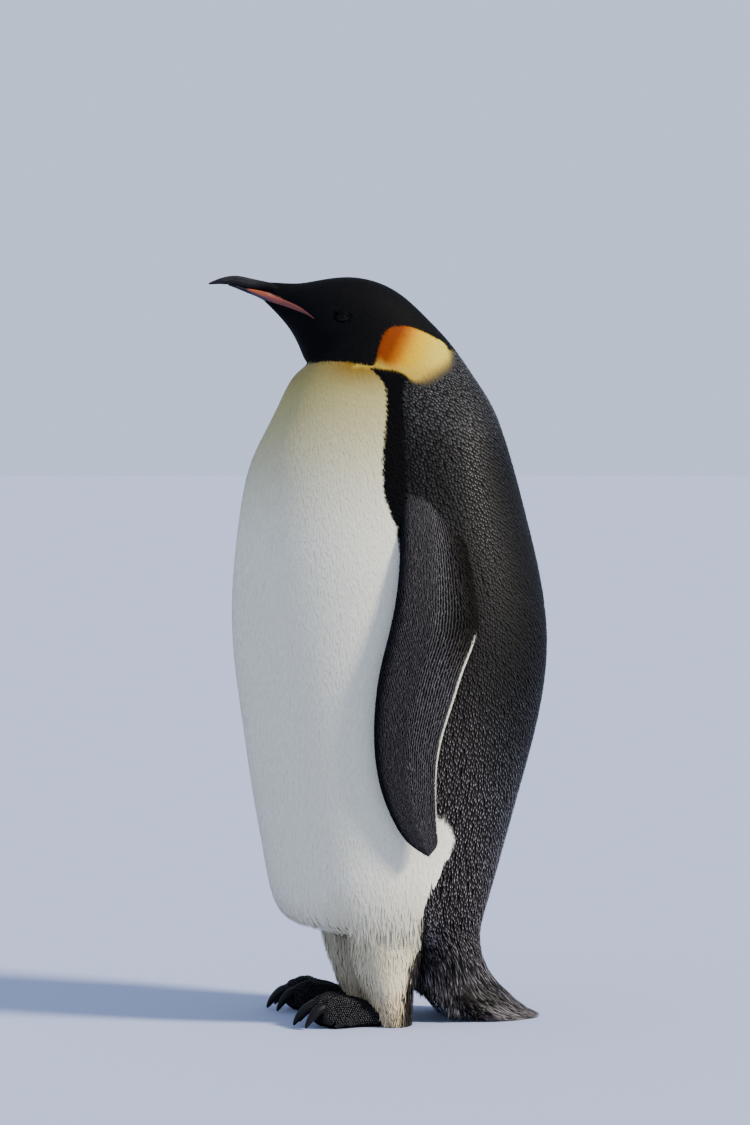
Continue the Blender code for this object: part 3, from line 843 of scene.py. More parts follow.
def rooted(loft, first, last, side, row_pitch):
    """Roots in columns along a tube, and how far each is from the next column. Each column is measured
    along its own line, so that the rows are evenly far apart everywhere, and every other column starts
    half a row later."""
    columns = len(side)
    fine = np.linspace(first, last, 200)
    grid, sides = np.meshgrid(fine, side)
    step = np.linalg.norm(loft.at(grid, sides)[1], axis=-1) / row_pitch(fine)
    width = fine[1] - fine[0]
    rows = np.cumsum((step[:, 1:] + step[:, :-1]) / 2 * width, axis=1)
    rows = np.concatenate([np.zeros((columns, 1)), rows], axis=1)
    wanted = np.arange(math.ceil(rows.max())) + 0.0
    shift = 0.5 * (np.arange(columns) % 2)
    station = np.stack([np.interp(wanted + shift[j], rows[j], fine) for j in range(columns)])
    keep = wanted[None] + shift[:, None] < rows[:, -1:]
    gap = (np.roll(side, -1) - np.roll(side, 1)) % loft.sides / 2
    gap = np.broadcast_to(gap[:, None], station.shape)[keep]
    station, side = station[keep], np.broadcast_to(side[:, None], station.shape)[keep]
    return station, side, gap * np.linalg.norm(loft.at(station, side)[2], axis=1)


def unit(vectors):
    """The vectors at length 1."""
    return vectors / np.linalg.norm(vectors, axis=1, keepdims=True)


def vanes(loft, roots, rows, length, width, low, high, turn, camber, pointed, stiff, droop=0.0):
    """Vanes that lie on a tube: each point is moved from the root along and across the vane, in the
    tube's own measure, and lifted from the skin to the top of the coat along its length.

    The sizes are arrays or numbers: length, width, low and high (lift at the root and at the tip), turn
    (angle from the tube's line towards the back), camber, pointed (0 to 1), stiff (0 hugs the tube,
    1 stays straight) and droop (how far a stiff one hangs straight down)."""
    station, side = roots
    point, along, round_, normal = loft.at(station, side)
    sizes = (length, width, low, high, turn, camber, pointed, stiff, droop)
    sizes = (np.broadcast_to(values, len(station))[:, None] for values in sizes)
    length, width, low, high, turn, camber, pointed, stiff, droop = sizes
    ahead = unit(along)
    across = np.cross(normal, ahead)
    angle = turn * (np.sign((across * round_).sum(1)) * np.sign(point[:, 0]))[:, None]
    heading = np.cos(angle) * ahead + np.sin(angle) * across
    beside = np.cross(normal, heading)
    share, round_tip, sharp_tip, rise = rows.T
    half = width / 2 * (round_tip + (sharp_tip - round_tip) * pointed)
    run = length * share
    place = np.array((-1.0, 0.0, 1.0))
    move = run[..., None, None] * heading[:, None, None]
    move = move + (half[..., None] * place)[..., None] * beside[:, None, None]
    a = (move * along[:, None, None]).sum(-1)
    b = (move * round_[:, None, None]).sum(-1)
    products = (along**2, along * round_, round_**2)
    e, f, g = (product.sum(1)[:, None, None] for product in products)
    scale = 1 / np.maximum(e * g - f * f, 1e-12)
    d_station, d_side = (a * g - b * f) * scale, (b * e - a * f) * scale
    laid, _, _, laid_normal = loft.at(station[:, None, None] + d_station, side[:, None, None] + d_side)
    hanging = unit(heading * (1 - droop) + np.array((0, 0, -1.0)) * droop)
    straight = point[:, None, None] + move + (run[..., None] * (hanging - heading)[:, None])[:, :, None]
    points = laid + (straight - laid) * (stiff[:, None, None] * share[:, None, None])
    lift = low + (high - low) * rise
    arch = camber * (0.25 + rise * (1.6 - 1.2 * rise))
    lift = lift[..., None] + arch[..., None] * (1 - place**2)
    return points + laid_normal * lift[..., None]


def standing_vanes(loft, roots, shape):
    """Vanes on a tube, those that would reach the floor made short enough to stay above it."""
    lowest = vanes(loft, roots, VANE_ROWS, **shape)[..., 2].min(axis=(1, 2))
    height = loft.at(*roots)[0][:, 2] - FLOOR - 0.0006
    fitting = np.clip(height / np.maximum(height + FLOOR + 0.0006 - lowest, 1e-5), 0.25, 1)
    found = vanes(loft, roots, VANE_ROWS, **dict(shape, length=shape["length"] * fitting))
    found[..., 2] = np.maximum(found[..., 2], FLOOR + 0.0004)
    return found


def vane_faces(count, rows, columns):
    """Quads of vanes, each a net of rows and columns of points, facing outwards."""
    row, column = np.meshgrid(np.arange(rows - 1), np.arange(columns - 1), indexing="ij")
    corner = (row * columns + column).ravel()
    quad = np.stack([corner, corner + columns, corner + columns + 1, corner + 1], -1)
    return (np.arange(count)[:, None, None] * rows * columns + quad).reshape(-1, 4)


# Share of the tip's colour at the points of a vane, row by row from the root, and how far each point is in
# the bright spot on a grey feather's raised end. The spot is partly the feather's pale tip and partly a
# painted highlight, a narrow streak down its middle.
EVEN_TONES = np.array(((0, 0, 0), (0.2, 0.3, 0.2), (0.6, 0.7, 0.6), (1, 1, 1), (1, 1, 1)))
SPOTS = np.array(((0, 0, 0), (0, 0.1, 0), (0, 0.4, 0), (0.1, 1, 0.1), (0.1, 0.7, 0.1)))
LONG_SPOTS = np.array(((0, 0, 0), (0, 0.6, 0), (0.1, 1, 0.1), (0.2, 1, 0.2), (0.1, 0.8, 0.1)))
SMALL_SPOTS = np.array(((0, 0.3, 0), (0.1, 1, 0.1), (0.3, 0.9, 0.3)))
# Size of a feather's patch on the bake map.
PATCH_SIZE = 0.003


def vane_colours(base, tip, tones, chance, spots=0.1):
    """Colours of the points of each vane, base and tip mixed by its pattern, all times the vane's own chance.
    The fourth value says how bright the spot is there, which is partly a painted highlight."""
    if base.ndim == 2:
        base, tip = base[:, None, None], tip[:, None, None]
    mixed = tones[..., None]
    colour = np.clip((base * (1 - mixed) + tip * mixed) * chance[:, None, None, None], 0, 1)
    spots = np.broadcast_to(spots, colour.shape[:-1])[..., None]
    return np.concatenate([colour, spots], -1)


def coat_piece(name, slot, kind, points, colours, places):
    """A piece of the coat from vanes, an array of vane, row, column and xyz. Each vane's patch of the
    bake map lies at its root's place on the unwrapped skin."""
    count, rows, columns, _ = points.shape
    faces = vane_faces(count, rows, columns)
    piece = new_piece(name, points.reshape(-1, 3), faces, feather_material(*FEATHER_FINISHES[kind]), slot)
    write_colours(piece.data, "plumage", colours.reshape(-1, 4))
    low, high = places.min(axis=0), places.max(axis=0)
    places = (places - low) / np.maximum(high - low, 1e-6) * (1 - 2 * PATCH_SIZE) + PATCH_SIZE
    steps = np.meshgrid(np.linspace(-0.5, 0.5, rows), np.linspace(-0.5, 0.5, columns), indexing="ij")
    patch = np.stack(steps[::-1], -1) * PATCH_SIZE
    write_map(piece.data, (places[:, None, None] + patch).reshape(-1, 2))


def unwrapped(loft, station, side):
    """Places on the tube's own unwrap: round it across, and along it upwards."""
    return np.stack([side / loft.sides, station / loft.stations], -1)


# Each kind's material: name, roughness of the spot and of the rest, gloss, sheen, scale of the barbs, and how
# dark the rest is beside the spot, as painted shade round the spot's painted highlight.
FLIPPER_KIND = 3
FEATHER_FINISHES = (
    ("velvet_feathers", 0.55, 0.75, 0.03, 0.0, 900.0, 1.0),
    ("light_feathers", 0.6, 0.72, 0.05, 0.02, 700.0, 1.0),
    ("grey_feathers", 0.3, 0.62, 0.08, 0.0, 700.0, 0.05),
    ("flipper_barbs", 0.55, 0.8, 0.025, 0.0, 700.0, 0.05),
)


def feather_material(name, gloss_rough, dull_rough, specular, sheen, fine, unlit):
    """Barbs of a feather: the vane's own colour, slightly streaked. Its spot is smoother, and the rest is
    darker by the share unlit, as painted shade round the spot, which is partly a painted highlight. Made once
    for each name."""
    known = bpy.data.materials.get(name)
    if known:
        return known
    nodes = Nodes(name, "plumage")
    colour = nodes.darkened(nodes.paint, nodes.noise(fine, 2.0, 0.6), (0.3, 0.8), (0.7, 1.0))
    spot = nodes.paint_value
    if unlit < 1:
        spot = nodes.ramp(spot, (0.45, unlit), (0.92, 1.0))
        colour = nodes.mix(1.0, colour, spot, "MULTIPLY")
    nodes.surface(Base_Color=colour, Roughness=nodes.scaled(spot, dull_rough, gloss_rough))
    nodes.surface(Specular_IOR_Level=specular, Sheen_Weight=sheen, Sheen_Roughness=0.5)
    nodes.bump(nodes.noise(fine * 1.6, 2.0, 0.6), 0.0002, 0.15)
    return nodes.material


def body_turn(y, z):
    """How far the feathers lean towards the back: most behind the flippers and least below."""
    return math.radians(14) * (ease(0.02, 0.1, y) * ease(0.3, 0.45, z) * ease(0.86, 0.76, z))


def scattered(loft, roots, pitch, rng, jitter):
    """The roots, each a little off its place by chance."""
    station, side, spacing = roots
    _, along, round_, _ = loft.at(station, side)
    station = station + rng.normal(0, jitter, len(station)) * pitch / np.linalg.norm(along, axis=1)
    side = side + rng.normal(0, jitter, len(side)) * spacing / np.linalg.norm(round_, axis=1)
    return station, side, spacing


# ---------------------------------------------------------------- skin


def united(shapes):
    """The mesh of the union of closed shapes. Raises an error if a shape didn't join."""
    first = shapes[0]
    for other in shapes[1:]:
        joint = first.modifiers.new("Join", "BOOLEAN")
        joint.operation = "UNION"
        joint.solver = "MANIFOLD"
        joint.object = other
    graph = bpy.context.evaluated_depsgraph_get()
    mesh = bpy.data.meshes.new_from_object(first.evaluated_get(graph))
    before = len(first.data.vertices)
    for shape in shapes:
        bpy.data.objects.remove(shape, do_unlink=True)
    if len(mesh.vertices) <= before:
        raise RuntimeError("The skin's shapes didn't join")
    return mesh


def sunk_net(loft, rows, columns, depth):
    """A net of points on a tube, sunk by a depth, a number or a function of the station and the side."""
    station, side = net(loft, rows, columns)
    point, _, _, normal = loft.at(station, side)
    depth = depth(station, side) if callable(depth) else depth
    return point - normal * np.broadcast_to(depth, station.shape)[..., None]


def body_coat(station, _):
    """Depth of the skin below the top of the body's coat."""
    return coat_plan(station)[2] + 0.0004


def leg_coat(station, _):
    """Depth of the skin below the top of a leg's coat, thinner towards the foot."""
    return 0.004 - 0.003 * ease(2.0, 5.0, station)


def toe_lift(station, side):
    """Height of the folds over a toe's joints: round knuckles at two stations, with creases between."""
    top = np.clip(np.cos(side * TURN / TOE_SIDES), 0, 1)
    knuckles = 0.0009 * np.cos((station - 1.1) * TURN / 1.45)
    creases = -0.0004 * np.abs(np.sin(station * TURN / 0.48)) ** 6
    return top * (knuckles + creases)


def lid_points(side_sign, around, polar, radius):
    """Points on a ball round the eye: polar is the angle from the eye's outward axis."""
    out, over = np.cos(polar), np.sin(polar) * np.cos(around)
    x = side_sign * (out * math.cos(EYE_TILT) + over * math.sin(EYE_TILT))
    y = over * math.cos(EYE_TILT) - out * math.sin(EYE_TILT)
    ball = stacked(x, y, np.sin(polar) * np.sin(around)) * np.asarray(radius)[..., None]
    return ball + np.array(EYE_CENTRE) * (side_sign, 1, 1)


def lid_shell(side_sign):
    """Both lids of an eye as one thick shell: out from the head to the slit, round its edge and back.
    The slit is an almond: half its length 0.76 of the ball's radius, its upper edge a bow 0.32 above
    the middle line and its lower one 0.38 below it. Also returns how near each point is to the lower
    lid's rim."""
    around = np.linspace(0, TURN, 96, endpoint=False)
    share = np.linspace(0, 1, 26)[:, None]
    slit_up = np.where(np.sin(around) > 0, 0.36, -0.34) * np.sin(around) ** 2 - 0.04
    over = between(0.99 * np.cos(around), 0.76 * np.cos(around), share)
    up = between(0.99 * np.sin(around), slit_up, share)
    polar, turn = np.arcsin(np.minimum(np.hypot(over, up), 0.999)), np.arctan2(up, over)
    fold = 0.0003 * np.exp(-(((share - 0.55) / 0.1) ** 2))
    rim = 0.0002 * ease(0.88, 0.97, share)
    outer = lid_points(side_sign, turn, polar, EYE_RADIUS + LID_THICKNESS - fold + rim)
    inner = lid_points(side_sign, turn, polar, EYE_RADIUS - 0.0006)
    points = np.concatenate([outer, inner[::-1]])
    rows, columns, _ = points.shape
    quads = grid_faces(rows + 1, columns) % (rows * columns)
    near = ease(0.7, 0.95, share) * np.maximum(-np.sin(around), 0)
    return points.reshape(-1, 3), quads, np.concatenate([near, near[::-1]]).ravel()


class Palette:
    """The colours that a user set, as arrays."""

    def __init__(self, group):
        for key in group.__annotations__:
            setattr(self, key, np.array(getattr(group, key)[:]))


def plain(colour, count, shine=0.4):
    """One colour for all the points, with its shine as the fourth value."""
    return np.concatenate([np.broadcast_to(colour, (count, 3)), np.full((count, 1), shine)], 1)


def mend_colours(mesh):
    """Gives the points that a union made, which have full alpha, the mean colour of their neighbours."""
    count = len(mesh.vertices)
    colours = np.empty(count * 4, np.float32)
    mesh.attributes["plumage"].data.foreach_get("color", colours)
    colours = colours.reshape(-1, 4)
    edges = np.empty(len(mesh.edges) * 2, np.int32)
    mesh.edges.foreach_get("vertices", edges)
    edges = np.concatenate([edges.reshape(-1, 2), edges.reshape(-1, 2)[:, ::-1]])
    for _ in range(3):
        new = colours[:, 3] > 0.95
        good = edges[~new[edges[:, 0]] & new[edges[:, 1]]]
        total = np.zeros((count, 5))
        np.add.at(total, good[:, 1], np.concatenate([colours[good[:, 0]], np.ones((len(good), 1))], 1))
        mended = new & (total[:, 4] > 0)
        colours[mended] = total[mended, :4] / total[mended, 4:]
    mesh.attributes["plumage"].data.foreach_set("color", colours.ravel())


def make_skin(colours, bare):
    """One closed skin under the whole coat: the body's tube sunk by the coat's depth, joined with both
    flippers, legs and feet, and with the lids round the eyes."""
    shapes = []

    def add(name, points, quads, painted, clearance=0.0004):
        points[:, 2] = np.maximum(points[:, 2], FLOOR + clearance)
        mesh = bpy.data.meshes.new(name)
        mesh.from_pydata(points.tolist(), [], outward(points, quads).tolist())
        write_colours(mesh, "plumage", painted)
        shapes.append(linked(name, mesh))

    points, quads = closed_tube(sunk_net(BODY_LOFT, 240, 112, body_coat))
    painted = plain(plumage(points, colours)[0], len(points), 0.1)
    horn = horn_part(points[:, 1] + 0.002, points[:, 2])
    painted = np.where(horn[:, None], plain(colours.black, len(points), 0.5), painted)
    add("body_skin", points, quads, painted, 0.0007)
    for side_name, side_sign in SIDES:
        loft = Loft(flipper_rings(side_sign, FLIPPER_COAT))
        points, quads = closed_tube(sunk_net(loft, 120, 40, 0.0))
        station, side = (values.ravel() for values in net(loft, 120, 40))
        station, side = np.append(station, (0, FLIPPER_END)), np.append(side, (0, 0))
        base, _, _ = flipper_plumage(station, side, colours)
        add("flipper_skin", points, quads, plain(base, len(points), 0.1))
        points, quads = closed_tube(sunk_net(LEG_LOFT[side_name], 60, 40, leg_coat))
        dark = ease(0.042, 0.03, points[:, 2])
        painted = blended(plain(colours.white * 0.8, len(points)), plain(bare.foot, len(points)), dark)
        add("leg_skin", points, quads, painted, 0.001)
        points, quads = closed_tube(sunk_net(PAD_LOFT[side_name], 30, 32, FOOT_SCALES))
        add("pad_skin", points, quads, plain(bare.foot, len(points)))
        for toe_name in TOES:
            toe = TOE_LOFT[side_name, toe_name]
            points, quads = closed_tube(sunk_net(toe, 80, 40, lambda *place: FOOT_SCALES - toe_lift(*place)))
            add("toe_skin", points, quads, plain(bare.foot, len(points)), 0.0002)
        points, quads, near = lid_shell(side_sign)
        lid, rim = plain(bare.lid, len(points), 0.1), plain(bare.lid * 6, len(points), 0.6)
        add("lid_skin", points, quads, blended(lid, rim, near))
    mesh = united(shapes)
    mend_colours(mesh)
    mesh.name = "skin"
    flesh = ["head", "neck", "trunk", "tail"]
    flesh += [part + "_" + side_name for part in ("flipper", "leg", "foot") for side_name, _ in SIDES]
    placed("skin", mesh, skin_material(), "foot_skin", flesh)


def skin_material():
    """Bare skin: its own colour with fine creases, seen on the lids and between the scales."""
    nodes = Nodes("bare_skin", "plumage")
    nodes.surface(Base_Color=nodes.darkened(nodes.paint, nodes.noise(900.0), (0.3, 0.7), (0.7, 1.0)))
    nodes.surface(Roughness=nodes.scaled(nodes.paint_value, 0.85, 0.42), Specular_IOR_Level=0.03)
    nodes.bump(nodes.noise(1500.0), 0.0002, 0.6)
    return nodes.material


# ---------------------------------------------------------------- coat pieces

# Half length and half height of the feathers' almond-shaped clearing round an eye.
EYE_CLEARING = (0.0122, 0.0074)
# The bill's horn reaches back on the face to this line, from the forehead down to the plate.
HORN_EDGE = ((-0.158, 0.985), (-0.15, 0.976), (-0.139, 0.966), (-0.127, 0.956))


def horn_part(y, z):
    """True on the face's bare horn: ahead of its edge and above the plate."""
    places, heights = np.array(HORN_EDGE)[::-1].T
    return (y < np.interp(z, heights, places)) & (z > 0.956)


def plate_edges(y, top_past=None, bottom_past=None):
    """Top and bottom of the plate at each y, and the heights to give past its ends."""
    places, top, bottom, _ = np.array(PLATE_STATIONS).T
    top = np.interp(y, places, top, top_past, top_past)
    return top, np.interp(y, places, bottom, bottom_past, bottom_past)


def bare_places(points):
    """True for vanes that would cover an eye's lids, a coloured plate or the bill's horn."""
    y, z = points[..., 1], points[..., 2]
    across = np.abs(y - EYE_CENTRE[1] + math.sin(EYE_TILT) * EYE_RADIUS) / EYE_CLEARING[0]
    eye = across**1.5 + (np.abs(z - EYE_CENTRE[2]) / EYE_CLEARING[1]) ** 1.5 < 1
    top, bottom = plate_edges(y, -1, 9)
    cover = 0.22 * (top - bottom) * ease(-0.16, -0.14, y)
    plate = (z < top - cover) & (z > bottom + 0.0004) & (np.abs(points[..., 0]) > 0.004)
    return (eye | plate | horn_part(y, z)).reshape(len(points), -1).any(axis=1)


# Lower edge of the shaggy feathers between the legs and the tail, as y and z.
HEM = ((0.0, 0.06), (0.035, 0.05), (0.052, 0.044), (0.066, 0.03), (0.085, 0.008), (0.11, 0.0))


def above_hem(point, rng):
    """Length that takes a hanging feather from its root down to the ragged hem."""
    places, heights = np.array(HEM).T
    drop = point[:, 2] - np.interp(point[:, 1], places, heights)
    return np.maximum(drop + rng.normal(0, 0.005, len(point)), 0.008)


def smooth_max(first, second, reach):
    """The larger of two values, rounded off where they are within reach of each other."""
    share = np.clip(0.5 + (first - second) / (2 * reach), 0, 1)
    return second + (first - second) * share + reach * share * (1 - share)


def leg_width(y, z, ankle_y):
    """X of a leg's outer side at each place as seen from the side."""
    fine = np.linspace(0, len(LEG_STATIONS) - 1, 60)
    table = [np.interp(fine, np.arange(len(LEG_STATIONS)), values) for values in np.array(LEG_STATIONS).T]
    front_y, front_z, rear_y, rear_z, half_width = np.array(table)[:, :, None]
    share = np.clip((y.ravel() - ankle_y - front_y) / (rear_y - front_y), 0, 1)
    row = (front_z + (rear_z - front_z) * share > z.ravel()).sum(0).clip(0, len(fine) - 1)
    column = np.arange(len(row))
    across = 2 * np.sqrt(share * (1 - share))[row, column]
    return (LEG_X + half_width[row, 0] * across).reshape(y.shape)


def laid_over(vane, chosen, width, shape):
    """The chosen vanes moved out to a surface of the given half width wherever it lies outside them."""
    lift = shape["low"][:, None] + (shape["high"] - shape["low"])[:, None] * VANE_ROWS[:, 3]
    part = vane[chosen]
    outer = np.sign(part[..., 0].mean(axis=(1, 2)))[:, None, None]
    part[..., 0] = outer * smooth_max(part[..., 0] * outer, width + lift[chosen][..., None], 0.006)
    vane[chosen] = part
    return vane


def by_kind(kind, velvet, light, grey):
    """A value for each vane from its kind."""
    return np.choose(kind, [velvet, light, grey])


def body_roots(first, last, sizes, rng):
    """Roots of a stretch of the body, with twice as many over the legs: station, side, distance from the
    next column and from the next row, and depth of the coat."""
    middle = (first + last) / 2
    side = even_sides(BODY_LOFT, middle, coat_plan(middle)[1] * sizes.spacing)
    roots = rooted(BODY_LOFT, first, last, side, lambda place: coat_plan(place)[0] * sizes.spacing)
    pitch, _, depth = coat_plan(roots[0])
    columns = *scattered(BODY_LOFT, roots, pitch, rng, sizes.disorder), pitch, depth
    _, y, z = BODY_LOFT.at(*columns[:2])[0].T
    thigh = np.flatnonzero((z < 0.19) & (y > -0.075) & (y < 0.065))
    station, side, spacing, pitch, depth = (np.append(values, values[thigh]) for values in columns)
    new = np.arange(len(station)) >= len(station) - len(thigh)
    side = side + new * 0.5 * spacing / np.linalg.norm(BODY_LOFT.at(station, side)[2], axis=1)
    return station, side, spacing, pitch, depth


def body_shape(roots, kind, sizes, rng):
    """Sizes of the body's vanes from their place and kind. They are longer and looser on the belly's
    lower fringe, over the thighs, under the tail and, as shag, behind the legs."""
    station, side, spacing, pitch, depth = roots
    point, _, _, normal = BODY_LOFT.at(station, side)
    x, y, z = point.T
    count = len(station)
    grey = kind == GREY
    low = ease(16.0, 20.0, station)
    fringe = ease(0.175, 0.13, z) * ease(-0.035, -0.08, y)
    tail = ease(0.13, 0.06, z) * ease(0.0, 0.06, y)
    thigh = ease(0.205, 0.165, z) * ease(-0.075, -0.04, y) * ease(0.004, -0.022, y - edge_at(WHITE_EDGE, z))
    thigh = thigh * (kind == LIGHT) * (normal[:, 2] > -0.75)
    thigh = thigh * ease(0.054, 0.034, y - np.where(x > 0, LEG_Y["left"], LEG_Y["right"]))
    shag = grey * ease(0.15, 0.095, z) * ease(0.115, 0.085, y)
    length = pitch * sizes.overlap * by_kind(kind, 1.1, 1.7, 1.05) * rng.normal(1, 0.07, count)
    length = length * (1 + 0.25 * low + 0.6 * fringe + 0.8 * tail)
    length = length * (1 + thigh * (0.5 + 1.5 * rng.random(count)))
    length = length * (1 + shag * (0.6 + 1.2 * rng.random(count)))
    length = np.where(shag > 0.2, np.minimum(length, above_hem(point, rng)), length)
    deep = depth * by_kind(kind, 0.6, 0.2, 1.0)
    narrow = ease(12.5, 17.0, station) * grey
    beside = ease(0.012, 0.0, y - edge_at(STRIPE_EDGE, z)) * grey * ease(0.6, 0.64, z)
    width = np.minimum(spacing * by_kind(kind, 1.5, 1.4, 1.35), length * 0.9)
    high = -depth * (0.1 + 0.45 * beside) + rng.normal(0, 0.04, count) * deep
    return {
        "length": length,
        "width": width * (1 - 0.25 * narrow - 0.35 * thigh),
        "low": -depth * 0.1 - deep * 0.9 * (1 - 0.5 * thigh),
        "high": high + 0.001 * fringe * rng.random(count),
        "turn": body_turn(y, z) + rng.normal(0, 0.06 + 0.08 * low, count),
        "camber": by_kind(kind, 0.05, 0.01, 0.12) * np.minimum(spacing, 0.004) * (1 + 0.5 * low),
        "pointed": np.clip(by_kind(kind, 0.3, 0.8, 0.4) + 0.5 * narrow + 0.6 * low + fringe, 0, 1),
        "stiff": np.clip(0.1 + 0.5 * fringe + 0.4 * tail + 0.65 * thigh + 0.8 * shag, 0, 1),
        "droop": 0.6 * shag,
    }


def body_colours(vane, own, roots, kind, colours, rng):
    """Colours of the body's vanes from the markings where their points lie, or for the low light ones
    from the root's own place."""
    point = BODY_LOFT.at(*roots[:2])[0]
    y, z = point[:, 1], point[:, 2]
    count = len(point)
    light = (kind == LIGHT)[:, None, None, None]
    stray = rng.normal(0, 0.0002, (count, 1, 1, 3))
    low_down = (z < 0.25)[:, None, None, None]
    seen = np.where(light & low_down, own[:, None, None], vane + stray)
    base, tip, _, pale = plumage(seen.reshape(-1, 3), colours)
    low = ease(16.0, 20.0, roots[0])
    chance = np.exp(rng.normal(0, 1, count) * by_kind(kind, 0.08, 0.02, 0.3 + 0.15 * low))
    pale = pale.reshape(vane.shape[:3])
    dim = 1 - 0.7 * (1 - pale[..., None]) * light
    # The tail's longer bright streaks are partly a painted highlight.
    tail = (ease(0.13, 0.06, z) * ease(0.0, 0.06, y))[:, None, None]
    streak = SPOTS + 0.8 * tail * (LONG_SPOTS - SPOTS)
    neck = 0.51 * ease(0.7, 0.8, z)[:, None, None]
    spots = np.maximum(np.maximum(streak, neck), pale)
    base, tip = (tone.reshape(vane.shape) * dim for tone in (base, tip))
    return vane_colours(base, tip, EVEN_TONES, chance, spots)


def make_body_feathers(colours, sizes):
    """Feathers of head, neck, trunk and tail. Rows follow the body's own lines from the bill to the
    tail, each vane rising from the skin to the top of the coat over the roots of the next ones."""
    rng = np.random.default_rng(sizes.seed)
    gathered = {}
    for first, last, names in COAT_STRETCHES:
        roots = body_roots(first, last, sizes, rng)
        station, side, _, pitch, _ = roots
        point, along, _, _ = BODY_LOFT.at(station, side)
        own = BODY_LOFT.at(station + pitch * 1.5 / np.linalg.norm(along, axis=1), side)[0]
        kind = plumage(own, colours)[2]
        shape = body_shape(roots, kind, sizes, rng)
        vane = standing_vanes(BODY_LOFT, (station, side), shape)
        for side_name, side_sign in SIDES:
            over = (point[:, 0] * side_sign > LEG_X + 0.012) & (point[:, 2] < 0.2)
            over &= np.abs(point[:, 1] - LEG_Y[side_name]) < 0.075
            width = leg_width(vane[over][..., 1], vane[over][..., 2], LEG_Y[side_name])
            vane = laid_over(vane, over, width, shape)
        colour = body_colours(vane, own, roots, kind, colours, rng)
        tips = vane[:, -1, 1]
        past = (point[:, 2] < 0.25) & (tips[:, 1] > edge_at(WHITE_EDGE, tips[:, 2]) + 0.002)
        keep = ~bare_places(vane) & ~(past & (kind == LIGHT))
        place = unwrapped(BODY_LOFT, station, side)
        for number, name in enumerate(names):
            chosen = keep & (kind == number)
            if name and chosen.any():
                found = (vane[chosen], colour[chosen], place[chosen])
                gathered.setdefault((name, number), []).append(found)
    for (name, number), found in gathered.items():
        slot = COAT_SLOTS.get(name, "head_plumage" if number == VELVET else "trunk_plumage")
        coat_piece(name, slot, number, *(np.concatenate(part) for part in zip(*found)))


def flipper_pitch(side):
    """Distance between the columns of a flipper's feathers: wider on its rear half, narrow at its edge."""
    return 0.0022 + 0.0016 * rear_rows(side) - 0.0026 * ease(0.92, 0.97, flipper_place(side)[0])


def make_flipper_feathers(colours, sizes):
    """Scale-like feathers of both flippers, in rows from the shoulder to the tip."""
    rng = np.random.default_rng(sizes.seed + 1)
    for side_name, side_sign in SIDES:
        loft = FLIPPER_LOFT[side_name]
        side = even_sides(loft, 5.0, lambda place: sizes.spacing * flipper_pitch(place))
        roots = rooted(loft, 0.0, FLIPPER_END, side, lambda place: (0.0036 - 0.0001 * place) * sizes.spacing)
        station, side, spacing = scattered(loft, roots, 0.003, rng, sizes.disorder * 0.5)
        high_up = station < 4.5
        hidden = np.zeros(len(station), bool)
        mirrored = loft.at(station[high_up], side[high_up])[0] * (side_sign, 1, 1)
        shoulder = np.linspace(8.5, 14.0, 50), np.linspace(1.5, 5.5, 50)
        hidden[high_up] = inside_tube(BODY_LOFT, mirrored, -0.004, *shoulder)
        station, side, spacing = station[~hidden], side[~hidden], spacing[~hidden]
        count = len(station)
        chord, outside = flipper_place(side)
        base, tip, light = flipper_plumage(station + 0.1, side, colours)
        soft = ease(0.62, 0.95, chord) * ease(0.42, 0.25, station / FLIPPER_END) * (light < 0.3)
        length = 0.0034 * sizes.overlap * rng.normal(1, 0.05, count) * (1 + 1.6 * soft * rng.random(count))
        shape = {
            "length": length,
            "width": np.minimum(spacing * 1.2, 0.0044),
            "low": -FLIPPER_COAT * 0.9,
            "high": rng.normal(0, 0.04, count) * FLIPPER_COAT,
            "turn": rng.normal(0, 0.05, count) + soft * rng.normal(0.35, 0.15, count),
            "camber": 0.12 * np.minimum(spacing, 0.0036),
            "pointed": 0.3,
            "stiff": 0.5 * soft,
        }
        vane = vanes(loft, (station, side), SMALL_VANE_ROWS, **shape)
        chance = np.where(light > 0.5, 1, np.exp(rng.normal(0, 0.25, count)))
        tip = tip * (0.8 + 0.4 * rear_rows(side) * (light < 0.5))[:, None]
        spots = np.maximum(SMALL_SPOTS, light[:, None, None])
        colour = vane_colours(base, tip, np.maximum(EVEN_TONES[1:4], spots), chance, spots)
        place = unwrapped(loft, station, side)
        for part, chosen in (("outer", outside > 0), ("inner", outside <= 0)):
            name = side_name + "_flipper_" + part + "_feathers"
            coat_piece(name, "flipper_plumage", FLIPPER_KIND, vane[chosen], colour[chosen], place[chosen])


